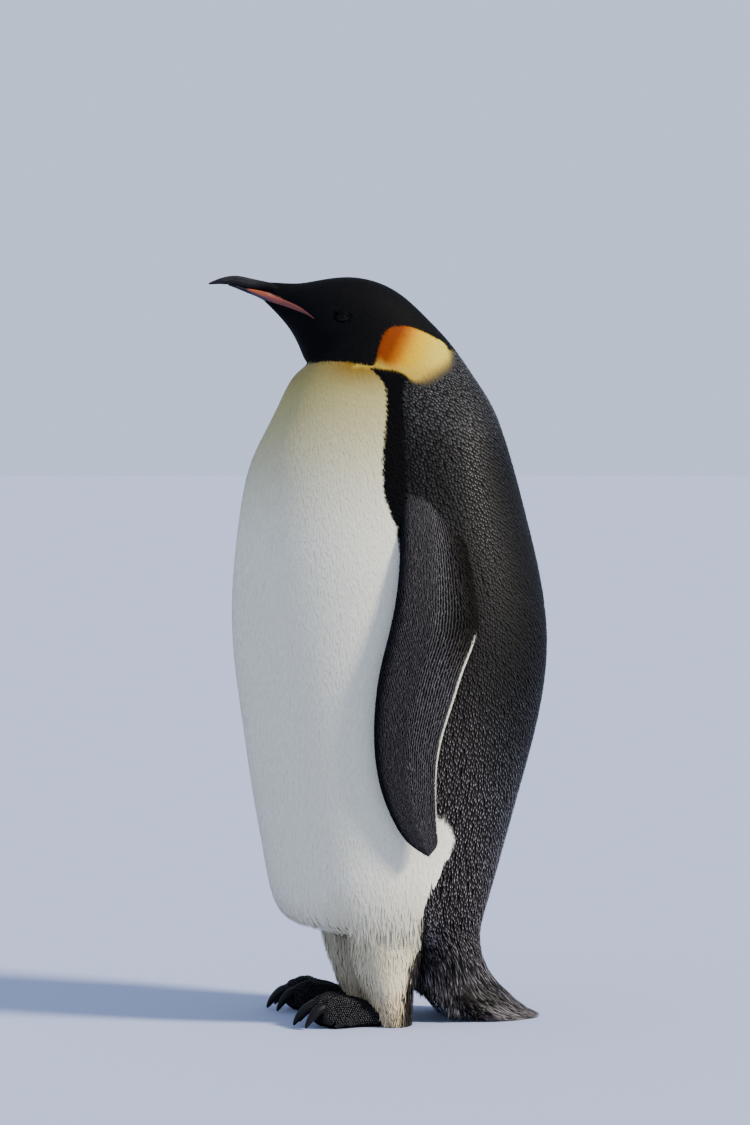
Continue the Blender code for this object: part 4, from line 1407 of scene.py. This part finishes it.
def make_leg_feathers(colours, sizes):
    """Long soft feathers that hang down each leg to the floor, white with brown tips at the heel."""
    rng = np.random.default_rng(sizes.seed + 2)
    for side_name, side_sign in SIDES:
        loft = LEG_LOFT[side_name]
        roots = rooted(loft, 0.0, 5.2, even_sides(loft, 2.5, 0.0017), lambda place: 0.0044 - 0.0004 * place)
        station, side, _ = scattered(loft, roots, 0.005, rng, 0.35)
        count = len(station)
        x, y, z = loft.at(station, side)[0].T
        ragged = ease(0.1, 0.03, z)
        rear = ease(-0.012, 0.006, y - edge_at(WHITE_EDGE, z))
        front = ease(-0.012, -0.032, y - LEG_Y[side_name])
        proud = 0.0016 * ragged + 0.006 * rear + 0.0045 * front
        shape = {
            "length": rng.normal(0.024, 0.004, count) * (1 + 0.25 * ragged + 0.3 * rear),
            "width": rng.normal(0.0023, 0.0003, count) * (1 - 0.25 * ragged),
            "low": -0.0016 + 0.0004 * ragged,
            "high": rng.normal(0.0002, 0.0002, count) + proud * rng.random(count),
            "turn": rng.normal(0, 0.07 + 0.13 * ragged + 0.08 * front, count),
            "camber": 0.0001,
            "pointed": 1.0,
            "stiff": 0.35 + 0.4 * np.maximum(ragged, front),
        }
        vane = standing_vanes(loft, (station, side), shape)
        over = (x * side_sign > LEG_X + 0.01) & (z > 0.085)
        part = vane[over]
        width = side_width(part[..., 1].ravel(), part[..., 2].ravel(), (16.5, 22.0)).reshape(part.shape[:-1])
        vane = laid_over(vane, over, width, shape)
        y, z = vane[:, 3, 1, 1], vane[:, 3, 1, 2]
        behind = ease(-0.003, 0.004, y - edge_at(WHITE_EDGE, z) + rng.normal(0, 0.003, count))
        heel = ease(0.034, 0.01, z) * ease(-0.01, 0.03, y - LEG_Y[side_name])
        tone = colours.white * LEG_SHADE
        tone = blended(tone, tone * np.array((0.86, 0.76, 0.68)), ease(0.06, 0.02, z) * 0.8)
        grey = (colours.back_tip * 0.6 + colours.brown * 0.4) * np.exp(rng.normal(-0.9, 0.5, (count, 1)))
        spiky = (rng.random(count) < 0.1 + 0.75 * heel) * ease(0.05, 0.03, z)
        base = blended(tone * 0.9, grey * 0.2, behind)
        tip = blended(tone, grey, np.maximum(behind, spiky * 0.8))
        colour = vane_colours(base, tip, EVEN_TONES, np.exp(rng.normal(0, 0.04, count)))
        place = unwrapped(loft, station, side)
        coat_piece(side_name + "_leg_feathers", "leg_plumage", LIGHT, vane, colour, place)


def make_vent_feathers(colours, sizes):
    """Hair-like dark feathers that hang below the belly between the legs and the tail, their grey-brown
    partly raised as painted light.
    """
    rng = np.random.default_rng(sizes.seed + 5)
    side = even_sides(BODY_LOFT, 21.0, 0.0045)
    side = side[np.minimum(side, BODY_SIDES - side) < 4.2]
    roots = rooted(BODY_LOFT, 19.6, 23.4, side, lambda place: 0.006)
    station, side, _ = scattered(BODY_LOFT, roots, 0.006, rng, 0.4)
    count = len(station)
    root = BODY_LOFT.at(station, side)[0]
    length = rng.normal(0.024, 0.005, count) * ease(24.5, 21.5, station) + 0.008
    shape = {
        "length": np.where(root[:, 1] < 0.1, np.minimum(length, above_hem(root, rng)), length),
        "width": rng.normal(0.0026, 0.0004, count),
        "low": -0.003,
        "high": rng.normal(0.0015, 0.002, count),
        "turn": rng.normal(0, 0.16, count),
        "camber": 0.0002,
        "pointed": 1.0,
        "stiff": 1.0,
        "droop": 0.45 * ease(0.12, 0.06, root[:, 1]),
    }
    vane = standing_vanes(BODY_LOFT, (station, side), shape)
    # Partly painted light: the grey-brown is raised to stand in for sunlight on the fringe.
    tone = (colours.back_tip + colours.brown) * 0.6 * np.exp(rng.normal(0, 0.5, (count, 1)))
    colour = vane_colours(tone * 0.2, tone * 0.9, EVEN_TONES, np.ones(count), np.maximum(SPOTS, 0.35))
    coat_piece("vent_fringe", "tail_plumage", GREY, vane, colour, unwrapped(BODY_LOFT, station, side))


def make_tail_feathers(colours, sizes):
    """Stiff tail feathers: a fan of long narrow vanes with a raised shaft, laid in three tiers, whose
    points show past the coverts and below them."""
    rng = np.random.default_rng(sizes.seed + 3)
    share = np.linspace(0, 1, 12)[:, None]
    across = np.linspace(-1, 1, 5)
    half = 0.0042 * np.minimum(1, 2.2 * (1 - share) ** 0.9 + 0.05) * np.minimum(1, 0.5 + 2 * share)
    found = []
    for start, reach, count, height in QUILL_TIERS:
        for middle, spread, shorter in ((7.0, 2.9, 1.0), (0.0, 2.6, 0.8)):
            place = (np.arange(count) + 0.5) / count * 2 - 1
            side = middle + place * spread + rng.normal(0, 0.05, count)
            station = np.full(count, start) + rng.normal(0, 0.08, count)
            point, along, _, normal = BODY_LOFT.at(station, side)
            ahead = unit(along)
            length = reach * shorter * (1 - 0.16 * place**2) * rng.normal(1, 0.08, count)
            run = length[:, None, None] * share
            drift = run * rng.normal(0, 0.03, count)[:, None, None]
            sideways = drift + half * across * rng.normal(1, 0.08, count)[:, None, None]
            lift = height - 0.006 + 0.0007 * (1 - np.abs(across)) + run * 0.02
            line = point[:, None, None] + ahead[:, None, None] * run[..., None]
            line = line + np.cross(normal, ahead)[:, None, None] * sideways[..., None]
            line = line + normal[:, None, None] * lift[..., None]
            tone = colours.back_tip * 0.7 * np.exp(rng.normal(0, 0.6, count))[:, None, None, None]
            # The bright shaft is partly a painted highlight along the quill's middle.
            shaft = np.exp(-((across / 0.28) ** 2))
            paint = stacked(*np.moveaxis(np.clip(tone, 0, 1), -1, 0), np.broadcast_to(shaft, line.shape[:-1]))
            keep = line[..., 2].min(axis=(1, 2)) > FLOOR + 0.0002
            place = unwrapped(BODY_LOFT, station, side % BODY_SIDES)
            found.append((line[keep], paint[keep], place[keep]))
    coat_piece("tail_quills", "tail_plumage", GREY, *(np.concatenate(part) for part in zip(*found)))


# ---------------------------------------------------------------- bill, eyes, feet


def horn_material(colour):
    """Dark horn: long fine streaks, paler scuffs, and a dull satin shine."""
    nodes = Nodes("bill_horn_finish")
    streaks = nodes.noise(900.0, 4.0, 0.6, 0.1)
    scuffs = nodes.noise(130.0, 4.0, 0.65)
    grain = nodes.ramp(streaks, (0.35, colour * 0.55), (0.72, colour * 2.0))
    worn = nodes.ramp(scuffs, (0.5, 0.0), (0.72, 1.0))
    brown = colour * np.array((3.0, 2.5, 2.2))
    horn = nodes.mix(nodes.scaled(worn, 0.0, 0.45), grain, (*brown, 1))
    y = nodes.add("SeparateXYZ", Vector=nodes.coordinates()).outputs["Y"]
    bare = nodes.add("MapRange", Value=y, From_Min=-0.146, From_Max=-0.166).outputs["Result"]
    nodes.surface(Base_Color=nodes.mix(bare, (*colour * 0.1, 1), horn))
    nodes.surface(Roughness=nodes.scaled(scuffs, 0.36, 0.58), Specular_IOR_Level=0.06)
    nodes.bump(streaks, 0.0002, 0.35)
    return nodes.material


def make_bill(colours):
    """Both halves of the bill as smooth tubes through their stations. The edge of the upper half bulges
    a little over the lower one."""
    material = horn_material(colours.bill_horn)
    for node, stations, change, groove in (
        ("upper_bill", UPPER_BILL_STATIONS, (0, 0, -0.0004, 0), 0.0004),
        ("lower_bill", LOWER_BILL_STATIONS, (0, 0.0011, 0, 0), 0.0),
    ):
        loft = Loft(upright_rings(np.array(stations) + change, BILL_SIDES))
        check_against_frame(loft, (node,))
        station, side = net(loft, 160, 60)
        point, _, _, normal = loft.at(station, side)
        around = np.exp(-(((np.cos(side * TURN / BILL_SIDES) - 0.25) / 0.16) ** 2))
        depth = around * ease(0.5, 2.5, station) * ease(6.5, 4.0, station) * groove
        tube_piece(node + "_horn", point - normal * depth[..., None], material, "bill_horn", node)


def plate_material():
    """Coloured horn of the plate: orange towards the bill's tip, rose behind, violet along its lower
    front edge. The colour is stored with the points."""
    nodes = Nodes("bill_plate_finish", "plate")
    streaks = nodes.noise(700.0, 3.0, 0.6, 0.15)
    nodes.surface(Base_Color=nodes.darkened(nodes.paint, streaks, (0.3, 0.82), (0.7, 1.0)))
    nodes.surface(Roughness=nodes.scaled(nodes.noise(300.0), 0.38, 0.55), Specular_IOR_Level=0.4)
    nodes.bump(streaks, 0.0001, 0.5)
    return nodes.material


def side_width(y, z, stations):
    """Half width of the body at each place as seen from the side, from a fine net of its points."""
    station, side = np.meshgrid(np.linspace(*stations, 160), np.linspace(0.05, 6.95, 140))
    near = BODY_LOFT.at(station, side)[0].reshape(-1, 3)
    found = np.zeros(len(y))
    for start in range(0, len(y), 500):
        part = slice(start, start + 500)
        gap = (near[None, :, 1] - y[part, None]) ** 2 + (near[None, :, 2] - z[part, None]) ** 2
        found[part] = near[gap.argmin(1), 0]
    return found


def make_plates(colours):
    """Coloured plate on each side of the bill: a long low pad, thickest along its middle."""
    material = plate_material()
    for side_name, side_sign in SIDES:
        loft = Loft(plate_rings(side_sign))
        node = "bill_plate_" + side_name
        check_against_frame(loft, (node,))
        station, side = net(loft, 120, 48)
        points, quads = closed_tube(loft.at(station, side)[0])
        x, y, z = points[:-2].T
        angle = side.ravel() * TURN / PLATE_SIDES
        inward = np.sin(angle)
        upper = 0.0022 * (ease(0.25, 0.6, np.cos(angle)) * ease(-0.152, -0.136, y))
        raised = side_width(y, z, (0, 5)) - 0.0004 + 0.0011 * inward - upper
        out = np.maximum(x * side_sign - upper, raised) * side_sign
        points[:-2, 0] = np.where((inward > -0.2) & (y > -0.15), out, x)
        name, quads = side_name + "_plate", outward(points, quads)
        piece = new_piece(name, points, quads, material, "bill_plate", (node,))
        _, y, z = points.T
        top, bottom = plate_edges(y)
        rise = np.clip((z - bottom) / np.maximum(top - bottom, 1e-4), 0, 1)
        paint = blended(colours.plate_orange, colours.plate_rose, ease(-0.168, -0.138, y))
        paint = blended(paint, colours.plate_rose * 0.5, ease(-0.115, -0.09, y))
        low = ease(0.42, 0.16, rise) * ease(-0.138, -0.152, y)
        paint = blended(paint, colours.plate_violet, np.maximum(low, ease(-0.1705, -0.1755, y)))
        write_colours(piece.data, "plate", paint)


def eye_material():
    """A wet dark eye: brown iris with a fine grain round a black pupil, under a clear coat."""
    nodes = Nodes("eye_finish", "eye")
    nodes.surface(Base_Color=nodes.darkened(nodes.paint, nodes.noise(1800.0, 2.0), (0.3, 0.6), (0.7, 1.0)))
    nodes.surface(Roughness=0.2, Specular_IOR_Level=0.05, Coat_Weight=0.04, Coat_Roughness=0.03)
    return nodes.material


def make_eyes(colours):
    """Eyeballs: balls seen from their own axis, with a raised clear front over the iris."""
    material = eye_material()
    rings, columns = np.linspace(0.002, math.pi - 0.002, 60), np.arange(64) * TURN / 64
    polar, around = np.meshgrid(rings, columns, indexing="ij")
    radius = EYE_RADIUS - 0.0003 + 0.0005 * ease(0.62, 0.25, polar)
    angle = np.append(polar, (0, math.pi))
    iris = ease(0.62, 0.56, angle) * ease(0.2, 0.24, angle)
    for side_name, side_sign in SIDES:
        ball = lid_points(side_sign, around, polar, radius)
        piece = tube_piece(side_name + "_eye", ball, material, "eye", "eye_" + side_name)
        write_colours(piece.data, "eye", blended(colours.eye * 0.25, colours.eye, iris))


def scale_material():
    """Horny scales of the feet: black with a dusty grain. The pale tops that the points carry are a painted
    highlight.
    """
    nodes = Nodes("foot_scale_finish", "plumage")
    dust = nodes.noise(260.0, 4.0, 0.6)
    nodes.surface(Base_Color=nodes.darkened(nodes.paint, dust, (0.35, 0.65), (0.75, 1.35)))
    nodes.surface(Roughness=nodes.scaled(nodes.noise(600.0), 0.42, 0.62), Specular_IOR_Level=0.15)
    nodes.bump(nodes.noise(1600.0, 2.0), 0.0001, 0.5)
    return nodes.material


def scale_pattern():
    """One scale: places of a middle point and two rings of six, how high each point is, how bright it is, and
    the triangles between them. The bright middle is a painted highlight on the scale's top."""
    around = np.arange(6) * math.pi / 3
    rings = [np.stack([np.cos(around), np.sin(around)], 1) * radius for radius in (0.46, 1.0)]
    one = np.arange(6)
    two = (one + 1) % 6
    hub = np.stack([0 * one, 1 + one, 1 + two], 1)
    rims = [np.stack([1 + one, 7 + one, 7 + two], 1), np.stack([1 + one, 7 + two, 1 + two], 1)]
    # The middle point is painted forty times as bright as the rim: a painted highlight on the dome's top.
    rise, shade = (np.repeat(values, (1, 6, 6)) for values in ((1.0, 0.8, -0.55), (40.0, 0.8, 0.1)))
    return np.concatenate([[[0, 0]], *rings]), rise, shade, np.concatenate([hub, *rims])


def make_foot_scales(colours, sizes):
    """Scales over the toes and the pad: each is a low dome that rises out of the skin, with a painted
    highlight on its top.
    """
    rng = np.random.default_rng(sizes.seed + 4)
    material = scale_material()
    offsets, rise, shade, faces = scale_pattern()
    for side_name, _ in SIDES:
        found = []
        surfaces = [TOE_LOFT[side_name, toe] for toe in TOES] + [PAD_LOFT[side_name]]
        for index, loft in enumerate(surfaces):
            is_toe = index < len(TOES)
            first, last = (0.3, 4.75) if is_toe else (1.0, 5.0)
            roots = rooted(loft, first, last, even_sides(loft, 2.5, 0.0029), lambda place: SCALE_PITCH)
            station, side, spacing = scattered(loft, roots, SCALE_PITCH, rng, 0.1)
            point, along, _, normal = loft.at(station, side)
            if is_toe:
                point = point + normal * toe_lift(station, side)[:, None]
            covered = np.zeros(len(point), bool)
            for other in surfaces:
                if other is not loft:
                    covered |= inside_tube(other, point, -0.0002)
            keep = ~covered & (point[:, 2] > FLOOR + 0.0018) & (normal[:, 2] > -0.55)
            kept = (values[keep] for values in (point, normal, along, spacing, station, side))
            point, normal, along, spacing, station, side = kept
            ahead = unit(along)
            count = len(point)
            size = rng.normal(1, 0.06, count)[:, None] * 0.5
            u = offsets[:, 0] * size * SCALE_PITCH
            v = offsets[:, 1] * size * np.minimum(spacing, 0.0032)[:, None] * 1.08
            dome = point[:, None] + ahead[:, None] * u[..., None]
            dome = dome + np.cross(normal, ahead)[:, None] * v[..., None]
            height = rise * FOOT_SCALES * rng.normal(1, 0.12, count)[:, None]
            dome = dome + normal[:, None] * height[..., None]
            dome[..., 2] = np.maximum(dome[..., 2], FLOOR + 0.0002)
            place = np.stack([(side / loft.sides + index) / 4, station / loft.stations], 1)
            tone = np.exp(rng.normal(0, 0.3, count))[:, None, None]
            found.append((dome, place, np.clip(colours.foot * tone * shade[:, None], 0, 1)))
        dome, place, tone = (np.concatenate(part) for part in zip(*found))
        triangles = (np.arange(len(dome))[:, None, None] * len(offsets) + faces).reshape(-1, 3)
        piece = new_piece(side_name + "_foot_scales", dome.reshape(-1, 3), triangles, material, "foot_skin")
        write_colours(piece.data, "plumage", np.insert(tone, 3, 0.5, axis=-1).reshape(-1, 4))
        patch = place[:, None] * (1 - 2 * PATCH_SIZE) + PATCH_SIZE + offsets * PATCH_SIZE / 2
        write_map(piece.data, patch.reshape(-1, 2))


def claw_material(colour):
    """Horn of the claws, with worn paler places."""
    nodes = Nodes("claw_finish")
    wear = nodes.noise(350.0, 4.0, 0.6)
    nodes.surface(Base_Color=nodes.ramp(wear, (0.4, colour), (0.75, colour * 2.5)))
    nodes.surface(Roughness=nodes.scaled(wear, 0.34, 0.54), Specular_IOR_Level=0.15)
    nodes.bump(nodes.noise(1200.0), 0.0001, 0.5)
    return nodes.material


def make_claws(colours):
    """Claws as smooth bent cones along their own line, with nine shallow grooves along them."""
    material = claw_material(colours.claw)
    for (side_name, toe_name), loft in CLAW_LOFT.items():
        station, side = net(loft, 60, 40)
        point, _, _, normal = loft.at(station, side)
        groove = 0.00016 * np.cos(side * TURN / CLAW_SIDES * 9) * ease(5, 3.5, station)
        points = point + normal * groove[..., None]
        node = "claw_" + side_name + "_" + toe_name
        tube_piece(side_name + "_" + toe_name + "_claw", points, material, "claw_horn", node)


# ---------------------------------------------------------------- stage


def aimed(name, data, place, aim):
    """A lamp or camera in the scene that looks from its place at a point."""
    made = linked(name, data)
    made.location = place
    made.rotation_euler = (Vector(aim) - Vector(place)).to_track_quat("-Z", "Y").to_euler()
    return made


def make_lamp(name, kind, place, aim, power, colour):
    """A lamp that shines from its place at a point."""
    light = bpy.data.lights.new(name, kind)
    light.energy = power
    light.color = colour
    aimed(name, light, place, aim)
    return light


def make_floor(colour):
    """A wide disc of rings round a middle point."""
    around = np.arange(96) * TURN / 96
    radii = np.array((0.6, 1.5, 4.0, 12.0, 60.0))[:, None]
    points = stacked(radii * np.cos(around), radii * np.sin(around), FLOOR).reshape(-1, 3)
    step = np.arange(0, 96, 2)
    hub = np.stack([np.full(48, len(points)), step, step + 1, (step + 2) % 96], 1)
    faces = np.concatenate([grid_faces(len(radii), 96)[:, ::-1], hub])
    nodes = Nodes("pale_floor")
    nodes.surface(Base_Color=(*colour, 1), Roughness=0.8, Specular_IOR_Level=0.2)
    floor = new_piece("floor", np.concatenate([points, [[0, 0, FLOOR]]]), faces, nodes.material)
    if floor.data.polygons[0].normal.z < 0:
        raise RuntimeError("The floor faces down")


def make_stage(settings):
    """A pale floor, soft light from high behind the tail on the near side, and the camera."""
    scene = bpy.context.scene
    for name in ("Camera", "Light"):
        found = bpy.data.objects.get(name)
        if found:
            bpy.data.objects.remove(found, do_unlink=True)
    make_floor(settings.floor_colour)

    scene.world = bpy.data.worlds.new("studio")
    scene.world.use_nodes = True
    background = scene.world.node_tree.nodes["Background"]
    background.inputs["Color"].default_value = (*settings.sky_colour, 1)
    background.inputs["Strength"].default_value = settings.sky_strength
    key = make_lamp("key", "SUN", (2.1, 3.9, 3.4), (0, 0, 0.55), settings.key_power, (1.0, 0.92, 0.79))
    key.angle = math.radians(10)
    fill = make_lamp("fill", "AREA", (3.5, -4.0, 2.5), (0, 0, 0.5), settings.fill_power, (0.9, 0.95, 1.0))
    fill.shape = "DISK"
    fill.size = 4.0

    azimuth, distance = settings.camera_azimuth, settings.camera_distance
    middle = Vector((0, settings.aim_forward, settings.aim_height))
    place = middle + Vector((math.sin(azimuth), -math.cos(azimuth), 0)) * distance
    place.z = settings.camera_height
    data = bpy.data.cameras.new("camera")
    data.sensor_fit = "VERTICAL"
    data.sensor_height = 36.0
    data.lens = settings.focal_length
    scene.camera = aimed("camera", data, place, middle)


# ---------------------------------------------------------------- settings, operators and panel

COLOUR = {"subtype": "COLOR", "min": 0.0, "max": 1.0, "size": 3}


def colour_property(name, description, default):
    """A colour that a user may set."""
    return bpy.props.FloatVectorProperty(name=name, description=description, default=default, **COLOUR)


def number_property(name, description, default, **more):
    """A number that a user may set."""
    return bpy.props.FloatProperty(name=name, description=description, default=default, **more)


class PenguinPlumageColours(bpy.types.PropertyGroup):
    """Colours of the plumage."""

    black: colour_property("Velvet black", "Hood and neck stripe", (0.003, 0.003, 0.0036))
    back_base: colour_property("Back, base", "Roots of the grey feathers", (0.0009, 0.0009, 0.0011))
    back_tip: colour_property("Back, tip", "Tips of the grey feathers", (0.029, 0.0298, 0.0365))
    brown: colour_property(
        "Worn brown", "Worn tips on the rump, the flippers and the legs", (0.066, 0.05, 0.042)
    )
    white: colour_property("White", "Belly", (0.745, 0.722, 0.588))
    # Partly the breast's own colour and partly painted shade below the chin.
    cream_and_shade: colour_property("Cream", "Upper breast", (0.36, 0.32, 0.125))
    gold: colour_property("Gold", "Throat below the hood", (0.185, 0.095, 0.002))
    patch_orange: colour_property("Ear patch, front", "Deep orange next to the hood", (0.158, 0.027, 0.0))
    patch_amber: colour_property("Ear patch, amber", "Amber behind the orange", (0.38, 0.13, 0.0))
    patch_yellow: colour_property("Ear patch, middle", "Yellow of the ear patch", (0.49, 0.3, 0.0))
    patch_pale: colour_property("Ear patch, rear", "Pale rear of the ear patch", (0.455, 0.352, 0.046))
    flipper: colour_property("Flipper", "Outer side of the flippers", (0.064, 0.0615, 0.068))
    flipper_lead: colour_property("Flipper edge", "Leading edge of the flippers", (0.013, 0.014, 0.02))


class PenguinBareColours(bpy.types.PropertyGroup):
    """Colours of horn, skin and eyes."""

    bill_horn: colour_property("Bill horn", "Upper and lower bill", (0.0125, 0.012, 0.0142))
    plate_orange: colour_property("Plate, front", "Orange front of the bill's plate", (0.24, 0.052, 0.01))
    plate_rose: colour_property("Plate, rear", "Rose rear of the bill's plate", (0.155, 0.033, 0.022))
    plate_violet: colour_property("Plate, edge", "Violet lower front edge", (0.03, 0.018, 0.06))
    eye: colour_property("Iris", "Brown of the iris", (0.004, 0.0028, 0.0024))
    lid: colour_property("Eyelids", "Bare skin of the lids", (0.0016, 0.0016, 0.0021))
    foot: colour_property("Feet", "Scales and skin of the feet", (0.0025, 0.0025, 0.003))
    claw: colour_property("Claws", "Horn of the claws", (0.0018, 0.0018, 0.0022))


class PenguinCoatSizes(bpy.types.PropertyGroup):
    """How the feathers are laid."""

    spacing: number_property(
        "Spacing", "Distance between feathers, as a share of the real one", 1.0, min=0.7, max=4.0
    )
    overlap: number_property("Overlap", "Length of a feather in rows", 2.2, min=1.4, max=3.5)
    disorder: number_property("Disorder", "How far a feather strays, in rows", 0.09, min=0.0, max=0.5)
    seed: bpy.props.IntProperty(name="Seed", description="Start of the chance values", default=7, min=0)


class PenguinStageSettings(bpy.types.PropertyGroup):
    """Floor, light and camera."""

    camera_azimuth: number_property(
        "Azimuth", "Direction of the camera round the bird", math.radians(84), subtype="ANGLE"
    )
    camera_distance: number_property("Distance", "Distance of the camera", 5.4, unit="LENGTH")
    camera_height: number_property("Height", "Height of the camera", 0.788, unit="LENGTH")
    aim_forward: number_property(
        "Aim along", "Place along Y that the camera looks at", -0.0033, unit="LENGTH"
    )
    aim_height: number_property("Aim height", "Height that the camera looks at", 0.6075, unit="LENGTH")
    focal_length: number_property("Focal length", "Lens of the camera", 129.76, unit="CAMERA")
    floor_colour: colour_property("Floor", "Colour of the floor", (0.325, 0.375, 0.54))
    sky_colour: colour_property("Surroundings", "Colour of the light all round", (0.64, 0.75, 1.0))
    sky_strength: number_property("Surroundings' light", "Strength of the light all round", 1.12, min=0.0)
    key_power: number_property("Key light", "Strength of the sun", 9.2, min=0.0)
    fill_power: number_property("Fill light", "Power of the fill light", 14.0, unit="POWER")


class PENGUIN_OT_stage(bpy.types.Operator):
    """Make the floor, the lights and the camera"""

    bl_idname = "penguin.stage"
    bl_label = "Stage"

    def execute(self, context):
        make_stage(context.scene.penguin_stage)
        return {"FINISHED"}


class PENGUIN_OT_skin(bpy.types.Operator):
    """Make the one skin under the coat, with the lids and the feet"""

    bl_idname = "penguin.skin"
    bl_label = "Skin"

    def execute(self, context):
        scene = context.scene
        check_against_frame(BODY_LOFT, ("head", "neck", "trunk", "tail"))
        for side_name, _ in SIDES:
            check_against_frame(FLIPPER_LOFT[side_name], ("flipper_" + side_name,), (0, 1, 1, 0, 0, 0))
        make_skin(Palette(scene.penguin_plumage), Palette(scene.penguin_bare))
        return {"FINISHED"}


class PENGUIN_OT_body_feathers(bpy.types.Operator):
    """Make the feathers of head, neck, trunk and tail"""

    bl_idname = "penguin.body_feathers"
    bl_label = "Body feathers"

    def execute(self, context):
        scene = context.scene
        make_body_feathers(Palette(scene.penguin_plumage), scene.penguin_coat)
        return {"FINISHED"}


class PENGUIN_OT_flipper_feathers(bpy.types.Operator):
    """Make the scale-like feathers of the flippers"""

    bl_idname = "penguin.flipper_feathers"
    bl_label = "Flipper feathers"

    def execute(self, context):
        scene = context.scene
        make_flipper_feathers(Palette(scene.penguin_plumage), scene.penguin_coat)
        return {"FINISHED"}


class PENGUIN_OT_leg_feathers(bpy.types.Operator):
    """Make the long feathers of the legs"""

    bl_idname = "penguin.leg_feathers"
    bl_label = "Leg feathers"

    def execute(self, context):
        scene = context.scene
        make_leg_feathers(Palette(scene.penguin_plumage), scene.penguin_coat)
        return {"FINISHED"}


class PENGUIN_OT_tail_feathers(bpy.types.Operator):
    """Make the stiff feathers of the tail"""

    bl_idname = "penguin.tail_feathers"
    bl_label = "Tail feathers"

    def execute(self, context):
        scene = context.scene
        make_tail_feathers(Palette(scene.penguin_plumage), scene.penguin_coat)
        make_vent_feathers(Palette(scene.penguin_plumage), scene.penguin_coat)
        return {"FINISHED"}


class PENGUIN_OT_bill(bpy.types.Operator):
    """Make both halves of the bill and its coloured plates"""

    bl_idname = "penguin.bill"
    bl_label = "Bill"

    def execute(self, context):
        colours = Palette(context.scene.penguin_bare)
        make_bill(colours)
        make_plates(colours)
        return {"FINISHED"}


class PENGUIN_OT_eyes(bpy.types.Operator):
    """Make the eyes"""

    bl_idname = "penguin.eyes"
    bl_label = "Eyes"

    def execute(self, context):
        make_eyes(Palette(context.scene.penguin_bare))
        return {"FINISHED"}


class PENGUIN_OT_feet(bpy.types.Operator):
    """Make the scales and the claws of the feet"""

    bl_idname = "penguin.feet"
    bl_label = "Scales and claws"

    def execute(self, context):
        scene = context.scene
        colours = Palette(scene.penguin_bare)
        make_foot_scales(colours, scene.penguin_coat)
        make_claws(colours)
        return {"FINISHED"}


class PENGUIN_PT_panel(bpy.types.Panel):
    """Steps and settings of the penguin"""

    bl_idname = "PENGUIN_PT_panel"
    bl_label = "Emperor Penguin"
    bl_space_type = "VIEW_3D"
    bl_region_type = "UI"
    bl_category = "Penguin"

    def draw(self, context):
        column = self.layout.column()
        for step in STEPS:
            column.operator(step.bl_idname)
        for group in ("penguin_plumage", "penguin_bare", "penguin_coat", "penguin_stage"):
            settings = getattr(context.scene, group)
            box = self.layout.box()
            for key in settings.__annotations__:
                box.prop(settings, key)


GROUPS = {
    "penguin_plumage": PenguinPlumageColours,
    "penguin_bare": PenguinBareColours,
    "penguin_coat": PenguinCoatSizes,
    "penguin_stage": PenguinStageSettings,
}
STEPS = (
    PENGUIN_OT_stage,
    PENGUIN_OT_skin,
    PENGUIN_OT_body_feathers,
    PENGUIN_OT_flipper_feathers,
    PENGUIN_OT_leg_feathers,
    PENGUIN_OT_tail_feathers,
    PENGUIN_OT_bill,
    PENGUIN_OT_eyes,
    PENGUIN_OT_feet,
)


def register():
    for made in (*GROUPS.values(), *STEPS, PENGUIN_PT_panel):
        bpy.utils.register_class(made)
    for name, group in GROUPS.items():
        setattr(bpy.types.Scene, name, bpy.props.PointerProperty(type=group))


def unregister():
    for name in GROUPS:
        delattr(bpy.types.Scene, name)
    for made in reversed((*GROUPS.values(), *STEPS, PENGUIN_PT_panel)):
        bpy.utils.unregister_class(made)


def main():
    register()
    for step in STEPS:
        group, name = step.bl_idname.split(".")
        getattr(getattr(bpy.ops, group), name)()


if __name__ == "__main__":
    main()
